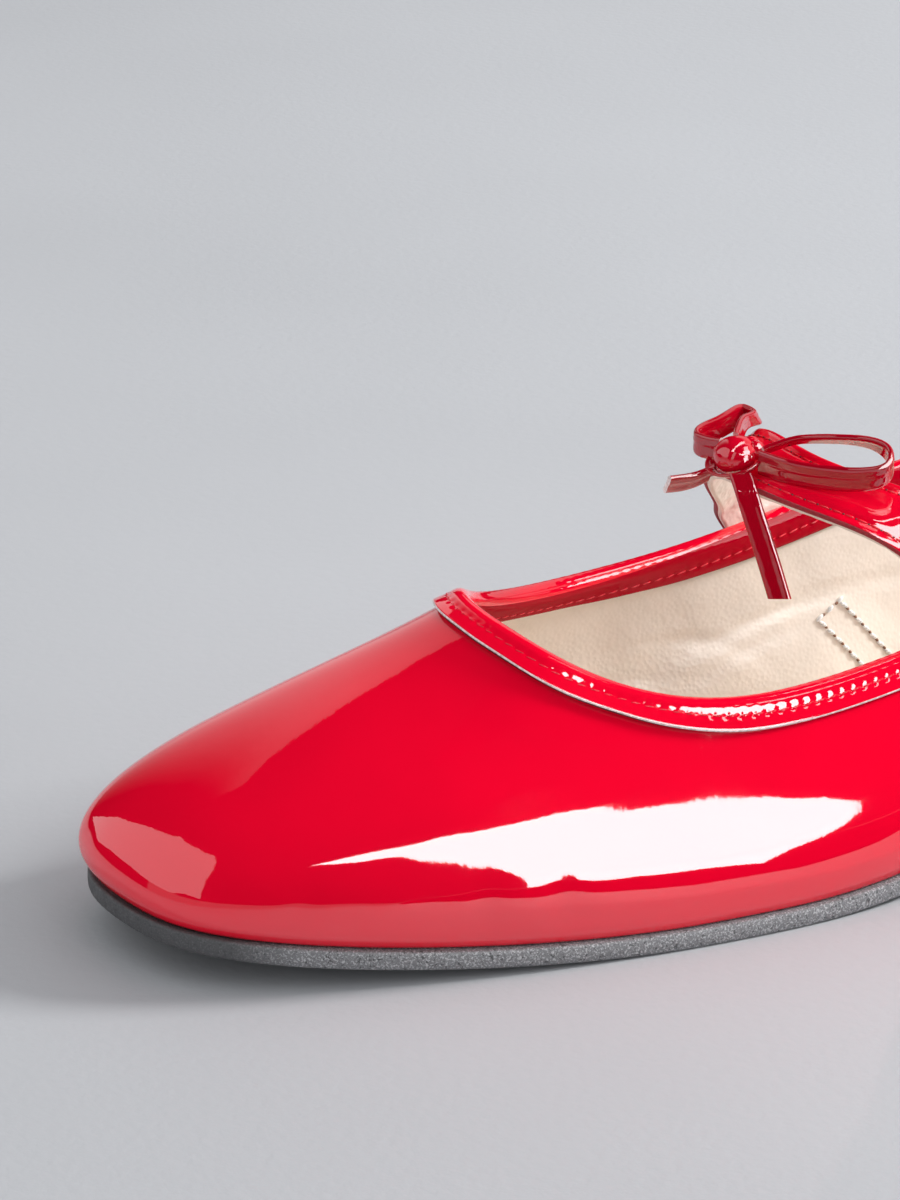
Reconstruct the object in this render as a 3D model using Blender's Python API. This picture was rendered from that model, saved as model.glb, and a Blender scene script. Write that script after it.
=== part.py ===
"""Ballet flat for the left foot, in patent leather, with an instep strap and a small ribbon bow.

Metres, +Z up. The shoe stands on the floor at z = 0 with its toe toward +X and its outer side toward +Y.
The origin is on the floor, at the centre of the heel's rest. Heights called rises start at the seat, the
top of the outsole.
"""

import math
from collections import namedtuple

import bmesh
import bpy
import numpy as np
from mathutils import Vector

# The last, measured at the feather edge, where the upper meets the sole
LAST_LENGTH = 0.242
HEEL_WIDTH = 0.0525
WAIST_WIDTH = 0.050
BALL_WIDTH = 0.0745
TOE_WIDTH = 0.0335
BULGE = 0.0066

# The opening, measured along the topline
OPENING_LENGTH = 0.1735
OPENING_WIDTH = 0.0586
BACK_LEAN = 0.006
BACK_RISE = 0.044
SIDE_RISE = 0.035
THROAT_RISE = 0.0433

# Sole and heel
OUTSOLE_THICKNESS = 0.0032
SOLE_LEDGE = 0.0008
SOLE_EDGE_ROUND = 0.0006
HEEL_HEIGHT = 0.0065
HEEL_LENGTH = 0.052
HEEL_INSET = 0.0004
TOE_SPRING = 0.0063
INSOLE_THICKNESS = 0.002

# Leather
WALL = 0.0016
LASTING_MARGIN = 0.006
BINDING_LEAF = 0.0008
BINDING_OUTSIDE = 0.0056
BINDING_INSIDE = 0.0058
GAP = 0.0003

# Strap
STRAP_WIDTH = 0.0118
STRAP_THICKNESS = 0.002
STRAP_PLACE = 0.1082
STRAP_REACH = 0.018
STRAP_SKEW = 0.003
STRAP_RISE = 0.0205
STRAP_TAIL = 0.035
STRAP_LEAVES_AT = 0.0025
STRAP_SLANT = math.radians(30)

# Bow
RIBBON_WIDTH = 0.0048
FAR_RIBBON_WIDTH = 0.0040
TAIL_WIDTH = 0.0038
RIBBON_THICKNESS = 0.0011
KNOT_LENGTH = 0.0076
KNOT_WIDTH = 0.0068
KNOT_HEIGHT = 0.0058
KNOT_SHIFT = 0.0040
KNOT_ACROSS = -0.0025
LOOP_LENGTH = 0.026
TAIL_LENGTH = 0.024

# Worked out from the sizes above
HEEL_SETBACK = HEEL_LENGTH / 2
BALL_BACK = 0.600 * LAST_LENGTH
BALL_FRONT = 0.670 * LAST_LENGTH
WAIST_RUN = 0.360 * LAST_LENGTH
TOE_CURVE = 1.7
SEAT_RISE = OUTSOLE_THICKNESS + GAP
ROLL_DEPTH = WALL / 2 + GAP + BINDING_LEAF

# Fineness of the faceted solids
AROUND_STEPS = 90
WALL_STEPS = 10
ROLL_STEPS = 4
WALK_STEPS = 6
LENGTHWISE_PITCH = 0.008
STRAP_STEPS = 48
STRAP_RAILS = 5
KNOT_STEPS = (20, 12)
SEARCH_STEPS = (200, 20)
NUDGE = 1e-4

# One row for each section of the upper, from the heel's back round the outer side to the toe and back.
# along and across place the feather edge, as shares of the last's length and of the row's own width.
# top_along, top_across and top_rise place the topline, as shares of the opening's length and width and
# of the row's own rise. swell and lift shape the wall above the sole, lean and crown below the topline.
Section = namedtuple(
    "Section",
    "place along across width top_along top_across top_rise rise swell lift lean crown",
)
SECTIONS = (
    Section("heel back", 0.000, 0.000, HEEL_WIDTH, 0.000, 0.000, 1.000, BACK_RISE, 1.0, 0.52, 0.46, 0.21),
    Section("heel outer", 0.037, 0.324, HEEL_WIDTH, 0.044, 0.256, 0.966, BACK_RISE, 1.0, 0.52, 0.46, 0.21),
    Section("seat outer", 0.145, 0.500, HEEL_WIDTH, 0.167, 0.412, 0.910, BACK_RISE, 1.0, 0.52, 0.46, 0.21),
    Section("waist outer", 0.322, 0.568, WAIST_WIDTH, 0.406, 0.440, 0.788, BACK_RISE, 1.0, 0.52, 0.46, 0.21),
    Section("joint outer", 0.479, 0.495, BALL_WIDTH, 0.580, 0.464, 0.950, SIDE_RISE, 0.85, 0.38, 0.42, 0.22),
    Section("ball outer", 0.642, 0.511, BALL_WIDTH, 0.812, 0.490, 0.933, SIDE_RISE, 0.25, 0.31, 0.36, 0.26),
    Section("toes outer", 0.843, 0.374, BALL_WIDTH, 0.941, 0.330, 0.842, THROAT_RISE, 0.65, 0.41, 0.43, 0.26),
    Section("corner outer", 0.975, 0.345, TOE_WIDTH, 0.994, 0.178, 0.962, THROAT_RISE, 0.9, 0.33, 0.42, 0.38),
    Section("toe", 0.999, -0.080, TOE_WIDTH, 1.003, -0.020, 0.997, THROAT_RISE, 1.2, 0.36, 0.46, 0.385),
    Section("corner inner", 0.984, -0.675, TOE_WIDTH, 0.985, -0.175, 0.975, THROAT_RISE, 1.4, 0.36, 0.46, 0.365),
    Section("toes inner", 0.847, -0.407, BALL_WIDTH, 0.940, -0.325, 0.872, THROAT_RISE, 1.1, 0.42, 0.46, 0.35),
    Section("ball inner", 0.712, -0.485, BALL_WIDTH, 0.836, -0.445, 0.972, SIDE_RISE, 0.8, 0.45, 0.42, 0.24),
    Section("joint inner", 0.517, -0.329, BALL_WIDTH, 0.617, -0.468, 1.004, SIDE_RISE, 1.0, 0.52, 0.46, 0.21),
    Section("waist inner", 0.351, -0.430, WAIST_WIDTH, 0.442, -0.457, 0.850, BACK_RISE, 1.0, 0.52, 0.46, 0.21),
    Section("seat inner", 0.145, -0.500, HEEL_WIDTH, 0.171, -0.412, 0.910, BACK_RISE, 1.0, 0.52, 0.46, 0.21),
    Section("heel inner", 0.037, -0.324, HEEL_WIDTH, 0.044, -0.252, 0.966, BACK_RISE, 1.0, 0.52, 0.46, 0.21),
)

# The strap's free arch, from the inner crossing of the topline to the outer one. reach is a share of how
# far it leans toward the toe, across of the opening's width, lift of its rise over the topline.
# tilt is the slope from its toe edge up to its heel edge, in degrees.
Arch = namedtuple("Arch", "reach across lift tilt")
STRAP_ARCH = (
    Arch(0.38, -0.435, 0.34, 34),
    Arch(0.69, -0.341, 0.64, 33),
    Arch(0.97, -0.137, 0.93, 26),
    Arch(0.98, 0.065, 0.94, 20),
    Arch(0.64, 0.239, 0.83, 21),
    Arch(0.37, 0.360, 0.725, 23),
    Arch(0.20, 0.440, 0.590, 25),
    Arch(0.06, 0.495, 0.400, 28),
)
# Where the strap is sewn along its tail on the wall, as shares of the tail's length below the topline
STRAP_SEWN = (1.00, 0.78, 0.58, 0.42, 0.24)

# Routes of the ribbons from the knot's centre: toeward, outward and up as shares of the ribbon's length,
# then the direction of the ribbon's width.
Turn = namedtuple("Turn", "toeward outward up wide_toe wide_out wide_up")
NEAR_LOOP = (
    Turn(-0.120, 0.120, 0.035, 0.40, 0.72, 0.50),
    Turn(-0.296, 0.212, 0.105, 0.40, 0.72, 0.46),
    Turn(-0.423, 0.365, 0.140, 0.40, 0.72, 0.46),
    Turn(-0.546, 0.519, 0.155, 0.40, 0.70, 0.50),
    Turn(-0.618, 0.650, 0.145, 0.40, 0.60, 0.62),
    Turn(-0.615, 0.780, 0.100, 0.34, 0.44, 0.80),
    Turn(-0.550, 0.835, 0.045, 0.24, 0.34, 0.91),
    Turn(-0.454, 0.750, -0.008, 0.17, 0.29, 0.94),
    Turn(-0.331, 0.596, -0.030, 0.17, 0.29, 0.94),
    Turn(-0.204, 0.442, -0.028, 0.17, 0.29, 0.94),
    Turn(-0.110, 0.300, -0.014, 0.17, 0.29, 0.94),
    Turn(-0.070, 0.175, -0.008, 0.17, 0.29, 0.94),
)
FAR_LOOP = (
    Turn(0.000, -0.165, -0.013, 0.0, 0.10, 0.99),
    Turn(0.030, -0.250, -0.023, 0.0, 0.05, 1.0),
    Turn(0.050, -0.340, -0.023, 0.0, 0.0, 1.0),
    Turn(0.005, -0.420, -0.021, 0.0, 0.0, 1.0),
    Turn(-0.200, -0.505, -0.013, 0.0, -0.10, 0.99),
    Turn(-0.390, -0.588, -0.005, 0.10, -0.20, 0.97),
    Turn(-0.500, -0.618, -0.013, 0.30, -0.20, 0.93),
    Turn(-0.510, -0.550, -0.003, 0.50, 0.10, 0.86),
    Turn(-0.365, -0.410, 0.037, 0.55, 0.35, 0.76),
    Turn(-0.210, -0.260, 0.047, 0.50, 0.40, 0.77),
    Turn(-0.115, -0.150, 0.037, 0.50, 0.40, 0.77),
)
NEAR_TAIL = (
    Turn(0.070, 0.180, -0.070, -0.86, 0.50, 0.0),
    Turn(0.085, 0.230, -0.160, -0.86, 0.50, 0.0),
    Turn(0.070, 0.310, -0.320, -0.86, 0.50, 0.0),
    Turn(0.030, 0.420, -0.550, -0.86, 0.50, 0.0),
    Turn(-0.020, 0.540, -0.850, -0.86, 0.50, 0.0),
)
FAR_TAIL = (
    Turn(0.130, -0.090, -0.130, 0.0, 0.50, 0.87),
    Turn(0.200, -0.140, -0.175, 0.0, 0.50, 0.87),
    Turn(0.310, -0.160, -0.190, 0.0, 0.50, 0.87),
    Turn(0.430, -0.160, -0.180, 0.0, 0.50, 0.87),
)
RIBBONS = (
    ("bow_loop_outer", NEAR_LOOP, LOOP_LENGTH, RIBBON_WIDTH, 28),
    ("bow_loop_inner", FAR_LOOP, LOOP_LENGTH, FAR_RIBBON_WIDTH, 28),
    ("bow_tail_outer", NEAR_TAIL, TAIL_LENGTH, TAIL_WIDTH, 14),
    ("bow_tail_inner", FAR_TAIL, TAIL_LENGTH, TAIL_WIDTH, 10),
)

PATENT_RED = ((0.80, 0.003, 0.020), 0.08, 0.0)
CREAM_LEATHER = ((0.78, 0.64, 0.50), 0.55, 0.0)
OUTSOLE_RUBBER = ((0.055, 0.058, 0.062), 0.6, 0.0)


def clear_scene():
    for item in list(bpy.data.objects):
        bpy.data.objects.remove(item)


def make_material(name, look):
    colour, roughness, metallic = look
    material = bpy.data.materials.new(name)
    material.use_nodes = True
    shader = material.node_tree.nodes["Principled BSDF"]
    shader.inputs["Base Color"].default_value = (*colour, 1.0)
    shader.inputs["Roughness"].default_value = roughness
    shader.inputs["Metallic"].default_value = metallic
    return material


def add_object(name, mesh, material, root):
    mesh.materials.append(material)
    mesh.shade_smooth()
    mesh.set_sharp_from_angle(angle=math.radians(40))
    piece = bpy.data.objects.new(name, mesh)
    piece.parent = root
    bpy.context.collection.objects.link(piece)
    return piece


def unit(vectors):
    return vectors / np.linalg.norm(vectors, axis=-1, keepdims=True)


def rocker(x):
    """Height of the outsole's underside: flat under the ball, up to the heel and up at the toe."""
    along = x + HEEL_SETBACK
    waist = np.clip((BALL_BACK - along) / WAIST_RUN, 0.0, 1.0)
    toe = np.clip((along - BALL_FRONT) / (LAST_LENGTH - BALL_FRONT), 0.0, None)
    return HEEL_HEIGHT * waist**2 * (3 - 2 * waist) + TOE_SPRING * toe**TOE_CURVE


def seat(x):
    return rocker(x) + SEAT_RISE


def spline_slopes(gaps, values, closed):
    """Slopes that give a cubic through the values one bend with no jump in it."""
    count = len(values)
    system = np.zeros((count, count))
    right = np.zeros_like(values)
    for i in range(count):
        if not closed and i in (0, count - 1):
            near, step = (1, gaps[0]) if i == 0 else (count - 2, gaps[-1])
            system[i, i], system[i, near] = 2.0, 1.0
            right[i] = 3 * abs(near - i) * (values[near] - values[i]) / (step * (near - i))
            continue
        before, after = gaps[i - 1], gaps[i % len(gaps)]
        following = (i + 1) % count
        system[i, i - 1] += 1 / before
        system[i, i] += 2 / before + 2 / after
        system[i, following] += 1 / after
        right[i] = 3 * ((values[i] - values[i - 1]) / before**2 + (values[following] - values[i]) / after**2)
    return np.linalg.solve(system, right)


def spline(knots, values, closed):
    """A smooth curve through one row of values at each knot, as a function of the place along it."""
    values = np.asarray(values, float)
    gaps = np.diff(knots)
    slopes = spline_slopes(gaps, values, closed) if not closed else spline_slopes(gaps, values[:-1], closed)
    if closed:
        slopes = np.vstack([slopes, slopes[:1]])

    def curve(place):
        place = np.asarray(place, float)
        if closed:
            place = np.mod(place, knots[-1])
        i = np.clip(np.searchsorted(knots, place, side="right") - 1, 0, len(gaps) - 1)
        gap = gaps[i][..., None]
        t = (place - knots[i])[..., None] / gap
        start, end = values[i], values[i + 1]
        return (
            (1 + 2 * t) * (1 - t) ** 2 * start
            + t**2 * (3 - 2 * t) * end
            + gap * t * (1 - t) * ((1 - t) * slopes[i] - t * slopes[i + 1])
        )

    return curve


def chord_knots(points):
    return np.append(0.0, np.cumsum(np.linalg.norm(np.diff(points, axis=0), axis=1)))


def section_rows():
    """Feather point, topline point and wall shape of each section, in metres."""
    rows = []
    for row in SECTIONS:
        feather = (row.along * LAST_LENGTH - HEEL_SETBACK, row.across * row.width)
        top_x = BACK_LEAN + row.top_along * OPENING_LENGTH - HEEL_SETBACK
        top = (top_x, row.top_across * OPENING_WIDTH, seat(top_x) + row.top_rise * row.rise)
        rows.append((*feather, *top, row.swell * BULGE, row.lift, row.lean, row.crown))
    return np.array(rows + rows[:1])


ROWS = section_rows()
ROUND_KNOTS = chord_knots((ROWS[:, 0:2] + ROWS[:, 2:4]) / 2)
ROUND_LENGTH = ROUND_KNOTS[-1]
TOE_PLACE = ROUND_KNOTS[[row.place for row in SECTIONS].index("toe")]
AROUND = spline(ROUND_KNOTS, ROWS, closed=True)


def feather_edge(u, outward=0.0):
    """Points of the feather edge seen from above, moved outward from it."""
    points = AROUND(u)[..., 0:2]
    tangent = unit(AROUND(u + NUDGE)[..., 0:2] - AROUND(u - NUDGE)[..., 0:2])
    return points + outward * np.stack([-tangent[..., 1], tangent[..., 0]], axis=-1)


def wall_surface(u, t):
    """Outer face of the upper: u runs round the shoe in metres, t from 0 at the sole to 1 at the topline."""
    row = AROUND(u)
    feather, top = row[..., 0:2], row[..., 2:5]
    bulge, lift, lean, crown = (row[..., k, None] for k in range(5, 9))
    foot = np.concatenate([feather, seat(feather[..., 0:1])], axis=-1)
    climb = top[..., 2:3] - foot[..., 2:3]
    outward = feather_edge(u, 1.0) - feather
    low = foot + np.concatenate([outward * bulge, climb * lift], axis=-1)
    high = top - np.concatenate([(top - foot)[..., 0:2] * lean, climb * crown], axis=-1)
    t = np.asarray(t, float)[..., None]
    return (1 - t) ** 3 * foot + 3 * (1 - t) ** 2 * t * low + 3 * (1 - t) * t**2 * high + t**3 * top


def wall_slopes(u, t):
    along = (wall_surface(u + NUDGE, t) - wall_surface(u - NUDGE, t)) / (2 * NUDGE)
    up = (wall_surface(u, t + NUDGE) - wall_surface(u, t - NUDGE)) / (2 * NUDGE)
    return along, up


def wall_normal(u, t):
    along, up = wall_slopes(u, t)
    return unit(np.cross(up, along))


def walk_down(u, depth):
    """The place on the wall at this depth below the topline, measured square to the topline."""
    u = np.array(u, float)
    t = np.ones_like(u)
    for _ in range(WALK_STEPS):
        along, up = wall_slopes(u, t)
        length = np.linalg.norm(along, axis=-1)
        drift = (along * up).sum(axis=-1) / length
        steep = np.sqrt((up**2).sum(axis=-1) - drift**2)
        u = u + depth / WALK_STEPS * drift / (steep * length)
        t = t - depth / WALK_STEPS / steep
    return u, t


def band_points(u, depth, proud):
    """Points at a depth below the topline and this far proud of the wall's outer face."""
    place = walk_down(u, depth)
    return wall_surface(*place) + proud * wall_normal(*place)


def roll_points(u, radius, angle):
    """Points on the half round over the wall's top edge, from its outer side at 0 to its inner side at pi."""
    place = walk_down(u, ROLL_DEPTH)
    normal = wall_normal(*place)
    along, _ = wall_slopes(*place)
    upward = np.cross(unit(along), normal)
    centre = wall_surface(*place) - WALL / 2 * normal
    return centre + radius * (math.cos(angle) * normal + math.sin(angle) * upward)


def skin(name, rows, material, root):
    """A closed ring of wall: each row is a curve round the shoe, and the rows close on each other."""
    shape = bmesh.new()
    rings = [[shape.verts.new(point) for point in row] for row in rows]
    for ring, following in zip(rings, rings[1:] + rings[:1]):
        for i in range(len(ring)):
            j = (i + 1) % len(ring)
            shape.faces.new((ring[i], ring[j], following[j], following[i]))
    bmesh.ops.recalc_face_normals(shape, faces=shape.faces)
    mesh = bpy.data.meshes.new(name)
    shape.to_mesh(mesh)
    shape.free()
    return add_object(name, mesh, material, root)


def make_upper(material, root):
    u = np.linspace(0.0, ROUND_LENGTH, AROUND_STEPS, endpoint=False)
    top_u, top_t = walk_down(u, ROLL_DEPTH)
    shares = np.linspace(0.0, 1.0, WALL_STEPS + 1) ** 1.15
    places = [(u + (top_u - u) * share**2, top_t * share) for share in shares]
    rows = [wall_surface(*place) for place in places]
    for step in range(1, ROLL_STEPS):
        rows.append(roll_points(u, WALL / 2, math.pi * step / ROLL_STEPS))
    for place in reversed(places[1:]):
        rows.append(wall_surface(*place) - WALL * wall_normal(*place))
    for inward, rise in ((WALL, WALL), (LASTING_MARGIN, WALL), (LASTING_MARGIN, 0.0)):
        edge = feather_edge(u, -inward)
        rows.append(np.column_stack([edge, seat(edge[:, 0]) + rise]))
    return skin("upper", rows, material, root)


def make_binding(material, root):
    """The folded strip over the topline: its outer leaf, the roll over the edge and its inner leaf."""
    u = np.linspace(0.0, ROUND_LENGTH, AROUND_STEPS, endpoint=False)
    outer, inner = GAP + BINDING_LEAF, -WALL - GAP - BINDING_LEAF
    inner_radius = WALL / 2 + GAP
    angles = [math.pi * step / ROLL_STEPS for step in range(ROLL_STEPS + 1)]
    outside = np.linspace(BINDING_OUTSIDE, ROLL_DEPTH, 3)[:-1]
    inside = np.linspace(BINDING_INSIDE, ROLL_DEPTH, 3)[:-1]
    rows = [band_points(u, depth, outer) for depth in outside]
    rows += [roll_points(u, inner_radius + BINDING_LEAF, angle) for angle in angles]
    rows += [band_points(u, depth, inner) for depth in reversed(inside)]
    rows += [band_points(u, depth, -WALL - GAP) for depth in inside]
    rows += [roll_points(u, inner_radius, angle) for angle in reversed(angles)]
    rows += [band_points(u, depth, GAP) for depth in reversed(outside)]
    return skin("topline_binding", rows, material, root)


def plate(name, outline, underside, thickness, edge_round, material, root, cut_at=None):
    """A flat blank with this outline, bent so that its underside follows a height along the shoe."""
    shape = bmesh.new()
    shape.faces.new([shape.verts.new((x, y, 0.0)) for x, y in outline])
    low, high = outline[:, 0].min(), outline[:, 0].max()
    if cut_at is not None:
        everything = shape.verts[:] + shape.edges[:] + shape.faces[:]
        bmesh.ops.bisect_plane(
            shape, geom=everything, plane_co=(cut_at, 0, 0), plane_no=(1, 0, 0), clear_outer=True
        )
        high = cut_at
    for x in np.linspace(low, high, round((high - low) / LENGTHWISE_PITCH) + 1)[1:-1]:
        everything = shape.verts[:] + shape.edges[:] + shape.faces[:]
        bmesh.ops.bisect_plane(shape, geom=everything, plane_co=(x, 0, 0), plane_no=(1, 0, 0))
    bottom_rim = [edge for edge in shape.edges if edge.is_boundary]
    raised = bmesh.ops.extrude_face_region(shape, geom=shape.faces[:])
    top = [item for item in raised["geom"] if isinstance(item, bmesh.types.BMVert)]
    bmesh.ops.translate(shape, verts=top, vec=(0, 0, thickness))
    bmesh.ops.recalc_face_normals(shape, faces=shape.faces)
    if edge_round:
        rim = [edge for edge in bottom_rim if edge.is_valid]
        bmesh.ops.bevel(shape, geom=rim, offset=edge_round, segments=1, affect="EDGES")
    for vert in shape.verts:
        vert.co.z += float(underside(vert.co.x))
    bmesh.ops.recalc_face_normals(shape, faces=shape.faces)
    mesh = bpy.data.meshes.new(name)
    shape.to_mesh(mesh)
    shape.free()
    return add_object(name, mesh, material, root)


def round_outline(outward):
    u = np.linspace(0.0, ROUND_LENGTH, AROUND_STEPS, endpoint=False)
    return feather_edge(u, outward)


def make_sole(rubber, lining, root):
    plate("outsole", round_outline(SOLE_LEDGE), rocker, OUTSOLE_THICKNESS, SOLE_EDGE_ROUND, rubber, root)
    plate(
        "heel",
        round_outline(SOLE_LEDGE - HEEL_INSET),
        lambda x: 0.0,
        HEEL_HEIGHT - GAP,
        SOLE_EDGE_ROUND,
        rubber,
        root,
        cut_at=HEEL_LENGTH - HEEL_SETBACK,
    )
    plate(
        "insole",
        round_outline(-WALL - 2 * GAP),
        lambda x: seat(x) + WALL + GAP,
        INSOLE_THICKNESS,
        0.0,
        lining,
        root,
    )


def wall_place(x, z, side):
    """Where on the wall a point with this x and z lies: side is 1 for the outer wall, -1 for the inner."""
    low, high = (0.0, TOE_PLACE) if side > 0 else (TOE_PLACE, ROUND_LENGTH)
    u, t = np.meshgrid(np.linspace(low, high, SEARCH_STEPS[0]), np.linspace(0.05, 1.0, SEARCH_STEPS[1]))
    points = wall_surface(u, t)
    near = np.argmin((points[..., 0] - x) ** 2 + (points[..., 2] - z) ** 2)
    u, t = u.flat[near], t.flat[near]
    for _ in range(4):
        point = wall_surface(u, t)
        along, up = wall_slopes(u, t)
        du, dt = np.linalg.solve([[along[0], up[0]], [along[2], up[2]]], [x - point[0], z - point[2]])
        u, t = u + du, t + dt
    return u, t


def strap_rails():
    """Lines along the strap, from its inner end to its outer end, as [station, rail, xyz]."""
    shares = np.linspace(-0.5, 0.5, STRAP_RAILS)
    wide = np.array([-math.cos(STRAP_SLANT), 0.0, math.sin(STRAP_SLANT)])
    upward = np.array([math.sin(STRAP_SLANT), 0.0, math.cos(STRAP_SLANT)])
    over_binding = 2 * GAP + BINDING_LEAF + STRAP_THICKNESS / 2
    on_wall = GAP + STRAP_THICKNESS / 2
    stations = {}
    for side in (-1, 1):
        cross_x = STRAP_PLACE - side * STRAP_SKEW - HEEL_SETBACK
        top = wall_surface(*wall_place(cross_x, seat(cross_x) + SIDE_RISE, side))
        crossing = np.array([cross_x, top[1] + side * (over_binding + 2 * GAP), top[2] + STRAP_LEAVES_AT])
        tail = []
        for share in STRAP_SEWN:
            middle = crossing - share * STRAP_TAIL * upward
            proud = over_binding if share * STRAP_TAIL < 2.8 * BINDING_OUTSIDE else on_wall
            row = []
            for across in shares:
                point = middle + across * STRAP_WIDTH * wide
                place = wall_place(point[0], point[2], side)
                row.append(wall_surface(*place) + proud * wall_normal(*place))
            tail.append(row)
        stations[side] = tail + [[crossing + across * STRAP_WIDTH * wide for across in shares]]
    arch = []
    for row in STRAP_ARCH:
        x = STRAP_PLACE + row.reach * STRAP_REACH - HEEL_SETBACK
        z = seat(STRAP_PLACE - HEEL_SETBACK) + SIDE_RISE + row.lift * STRAP_RISE
        middle = np.array([x, row.across * OPENING_WIDTH, z])
        tilt = math.radians(row.tilt)
        tilted = np.array([-math.cos(tilt), 0.0, math.sin(tilt)])
        arch.append([middle + across * STRAP_WIDTH * tilted for across in shares])
    return np.array(stations[-1] + arch + stations[1][::-1])


def smooth_along(points, steps):
    """A smooth curve through [station, ...] points, read at an even number of steps."""
    flat = points.reshape(len(points), -1)
    knots = chord_knots(points.reshape(len(points), -1, points.shape[-1])[:, points.shape[1] // 2])
    curve = spline(knots, flat, closed=False)
    return curve(np.linspace(0.0, knots[-1], steps + 1)).reshape((steps + 1,) + points.shape[1:])


def band(name, lines, thickness, material, root):
    """A strip of leather through [station, rail, xyz] points, thickened evenly to both sides."""
    shape = bmesh.new()
    rows = [[shape.verts.new(point) for point in line] for line in lines]
    for row, following in zip(rows, rows[1:]):
        for i in range(len(row) - 1):
            shape.faces.new((row[i], row[i + 1], following[i + 1], following[i]))
    mesh = bpy.data.meshes.new(name)
    shape.to_mesh(mesh)
    shape.free()
    piece = add_object(name, mesh, material, root)
    solid = piece.modifiers.new("thickness", "SOLIDIFY")
    solid.thickness = thickness
    solid.offset = 0.0
    solid.use_even_offset = True
    return piece


def knot_centre(rails):
    """The knot sits on the strap's middle, toward its toe edge."""
    stations = smooth_along(rails, SEARCH_STEPS[0])
    arch = stations[stations[:, 0, 2] > seat(STRAP_PLACE) + SIDE_RISE + STRAP_RISE / 2]
    middle = arch[np.argmin(abs(arch[:, STRAP_RAILS // 2, 1] - KNOT_ACROSS))]
    wide = unit(middle[-1] - middle[0])
    normal = np.array([wide[2], 0.0, -wide[0]])
    lift = STRAP_THICKNESS / 2 + GAP + KNOT_HEIGHT / 2
    return middle[STRAP_RAILS // 2] - KNOT_SHIFT * wide + lift * normal, wide, normal


def make_ribbon(name, turns, length, width, centre, material, root, steps):
    route = np.array([[turn.toeward, turn.outward, turn.up] for turn in turns]) * length + centre
    wide = unit(np.array([[turn.wide_toe, turn.wide_out, turn.wide_up] for turn in turns]))
    rails = np.stack([route - wide * width / 2, route, route + wide * width / 2], axis=1)
    return band(name, smooth_along(rails, steps), RIBBON_THICKNESS, material, root)


def make_bow(rails, material, root):
    centre, wide, normal = knot_centre(rails)
    shape = bmesh.new()
    bmesh.ops.create_uvsphere(shape, u_segments=KNOT_STEPS[0], v_segments=KNOT_STEPS[1], radius=0.5)
    axes = (Vector(-wide) * KNOT_WIDTH, Vector((0, 1, 0)) * KNOT_LENGTH, Vector(normal) * KNOT_HEIGHT)
    for vert in shape.verts:
        vert.co = Vector(centre) + sum((axis * share for axis, share in zip(axes, vert.co)), Vector())
    bmesh.ops.recalc_face_normals(shape, faces=shape.faces)
    mesh = bpy.data.meshes.new("bow_knot")
    shape.to_mesh(mesh)
    shape.free()
    add_object("bow_knot", mesh, material, root)
    for name, turns, length, width, steps in RIBBONS:
        make_ribbon(name, turns, length, width, centre, material, root, steps)


def main():
    clear_scene()
    root = bpy.data.objects.new("ballet_flat", None)
    bpy.context.collection.objects.link(root)
    red = make_material("patent_red", PATENT_RED)
    cream = make_material("cream_leather", CREAM_LEATHER)
    rubber = make_material("outsole_rubber", OUTSOLE_RUBBER)
    make_upper(red, root)
    make_binding(red, root)
    make_sole(rubber, cream, root)
    rails = strap_rails()
    band("strap", smooth_along(rails, STRAP_STEPS), STRAP_THICKNESS, red, root)
    make_bow(rails, red, root)


if __name__ == "__main__":
    main()
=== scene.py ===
"""Ballet flat for the left foot: patent leather shell, folded binding, instep strap and ribbon bow.

Metres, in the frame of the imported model: +X toward the toe, +Y toward the shoe's outer side, +Z up,
origin on the floor at the centre of the heel's rest.
"""

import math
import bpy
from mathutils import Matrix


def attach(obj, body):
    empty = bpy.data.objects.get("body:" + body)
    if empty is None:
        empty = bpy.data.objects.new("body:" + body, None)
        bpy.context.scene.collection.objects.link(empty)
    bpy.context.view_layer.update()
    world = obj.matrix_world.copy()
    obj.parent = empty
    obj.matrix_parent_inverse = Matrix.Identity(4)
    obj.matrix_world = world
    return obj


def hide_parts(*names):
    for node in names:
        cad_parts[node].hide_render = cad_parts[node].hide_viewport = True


bl_info = {
    "name": "Ballet flat with strap and bow",
    "version": (1, 0, 0),
    "blender": (4, 5, 0),
    "location": "View3D > Sidebar > Ballet flat",
    "description": "Makes a patent ballet flat, piece by piece, round its packed model",
    "category": "Object",
}

from collections import namedtuple

import bmesh
import bpy
import numpy as np
from bpy.props import FloatProperty, FloatVectorProperty, PointerProperty
from mathutils import Matrix, Vector
from mathutils.geometry import tessellate_polygon

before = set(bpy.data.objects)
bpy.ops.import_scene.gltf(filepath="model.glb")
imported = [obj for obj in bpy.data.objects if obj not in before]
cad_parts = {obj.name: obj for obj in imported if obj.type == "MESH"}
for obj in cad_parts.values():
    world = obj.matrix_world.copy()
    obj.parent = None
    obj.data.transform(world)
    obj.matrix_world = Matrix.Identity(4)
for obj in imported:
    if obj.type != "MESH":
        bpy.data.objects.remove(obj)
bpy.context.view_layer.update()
BODY = "root"

# The last and the opening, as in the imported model
LAST_LENGTH = 0.242
HEEL_WIDTH = 0.0525
WAIST_WIDTH = 0.050
BALL_WIDTH = 0.0745
TOE_WIDTH = 0.0335
BULGE = 0.0066
OPENING_LENGTH = 0.1735
OPENING_WIDTH = 0.0586
BACK_LEAN = 0.006
BACK_RISE = 0.044
SIDE_RISE = 0.035
THROAT_RISE = 0.0433

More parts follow.
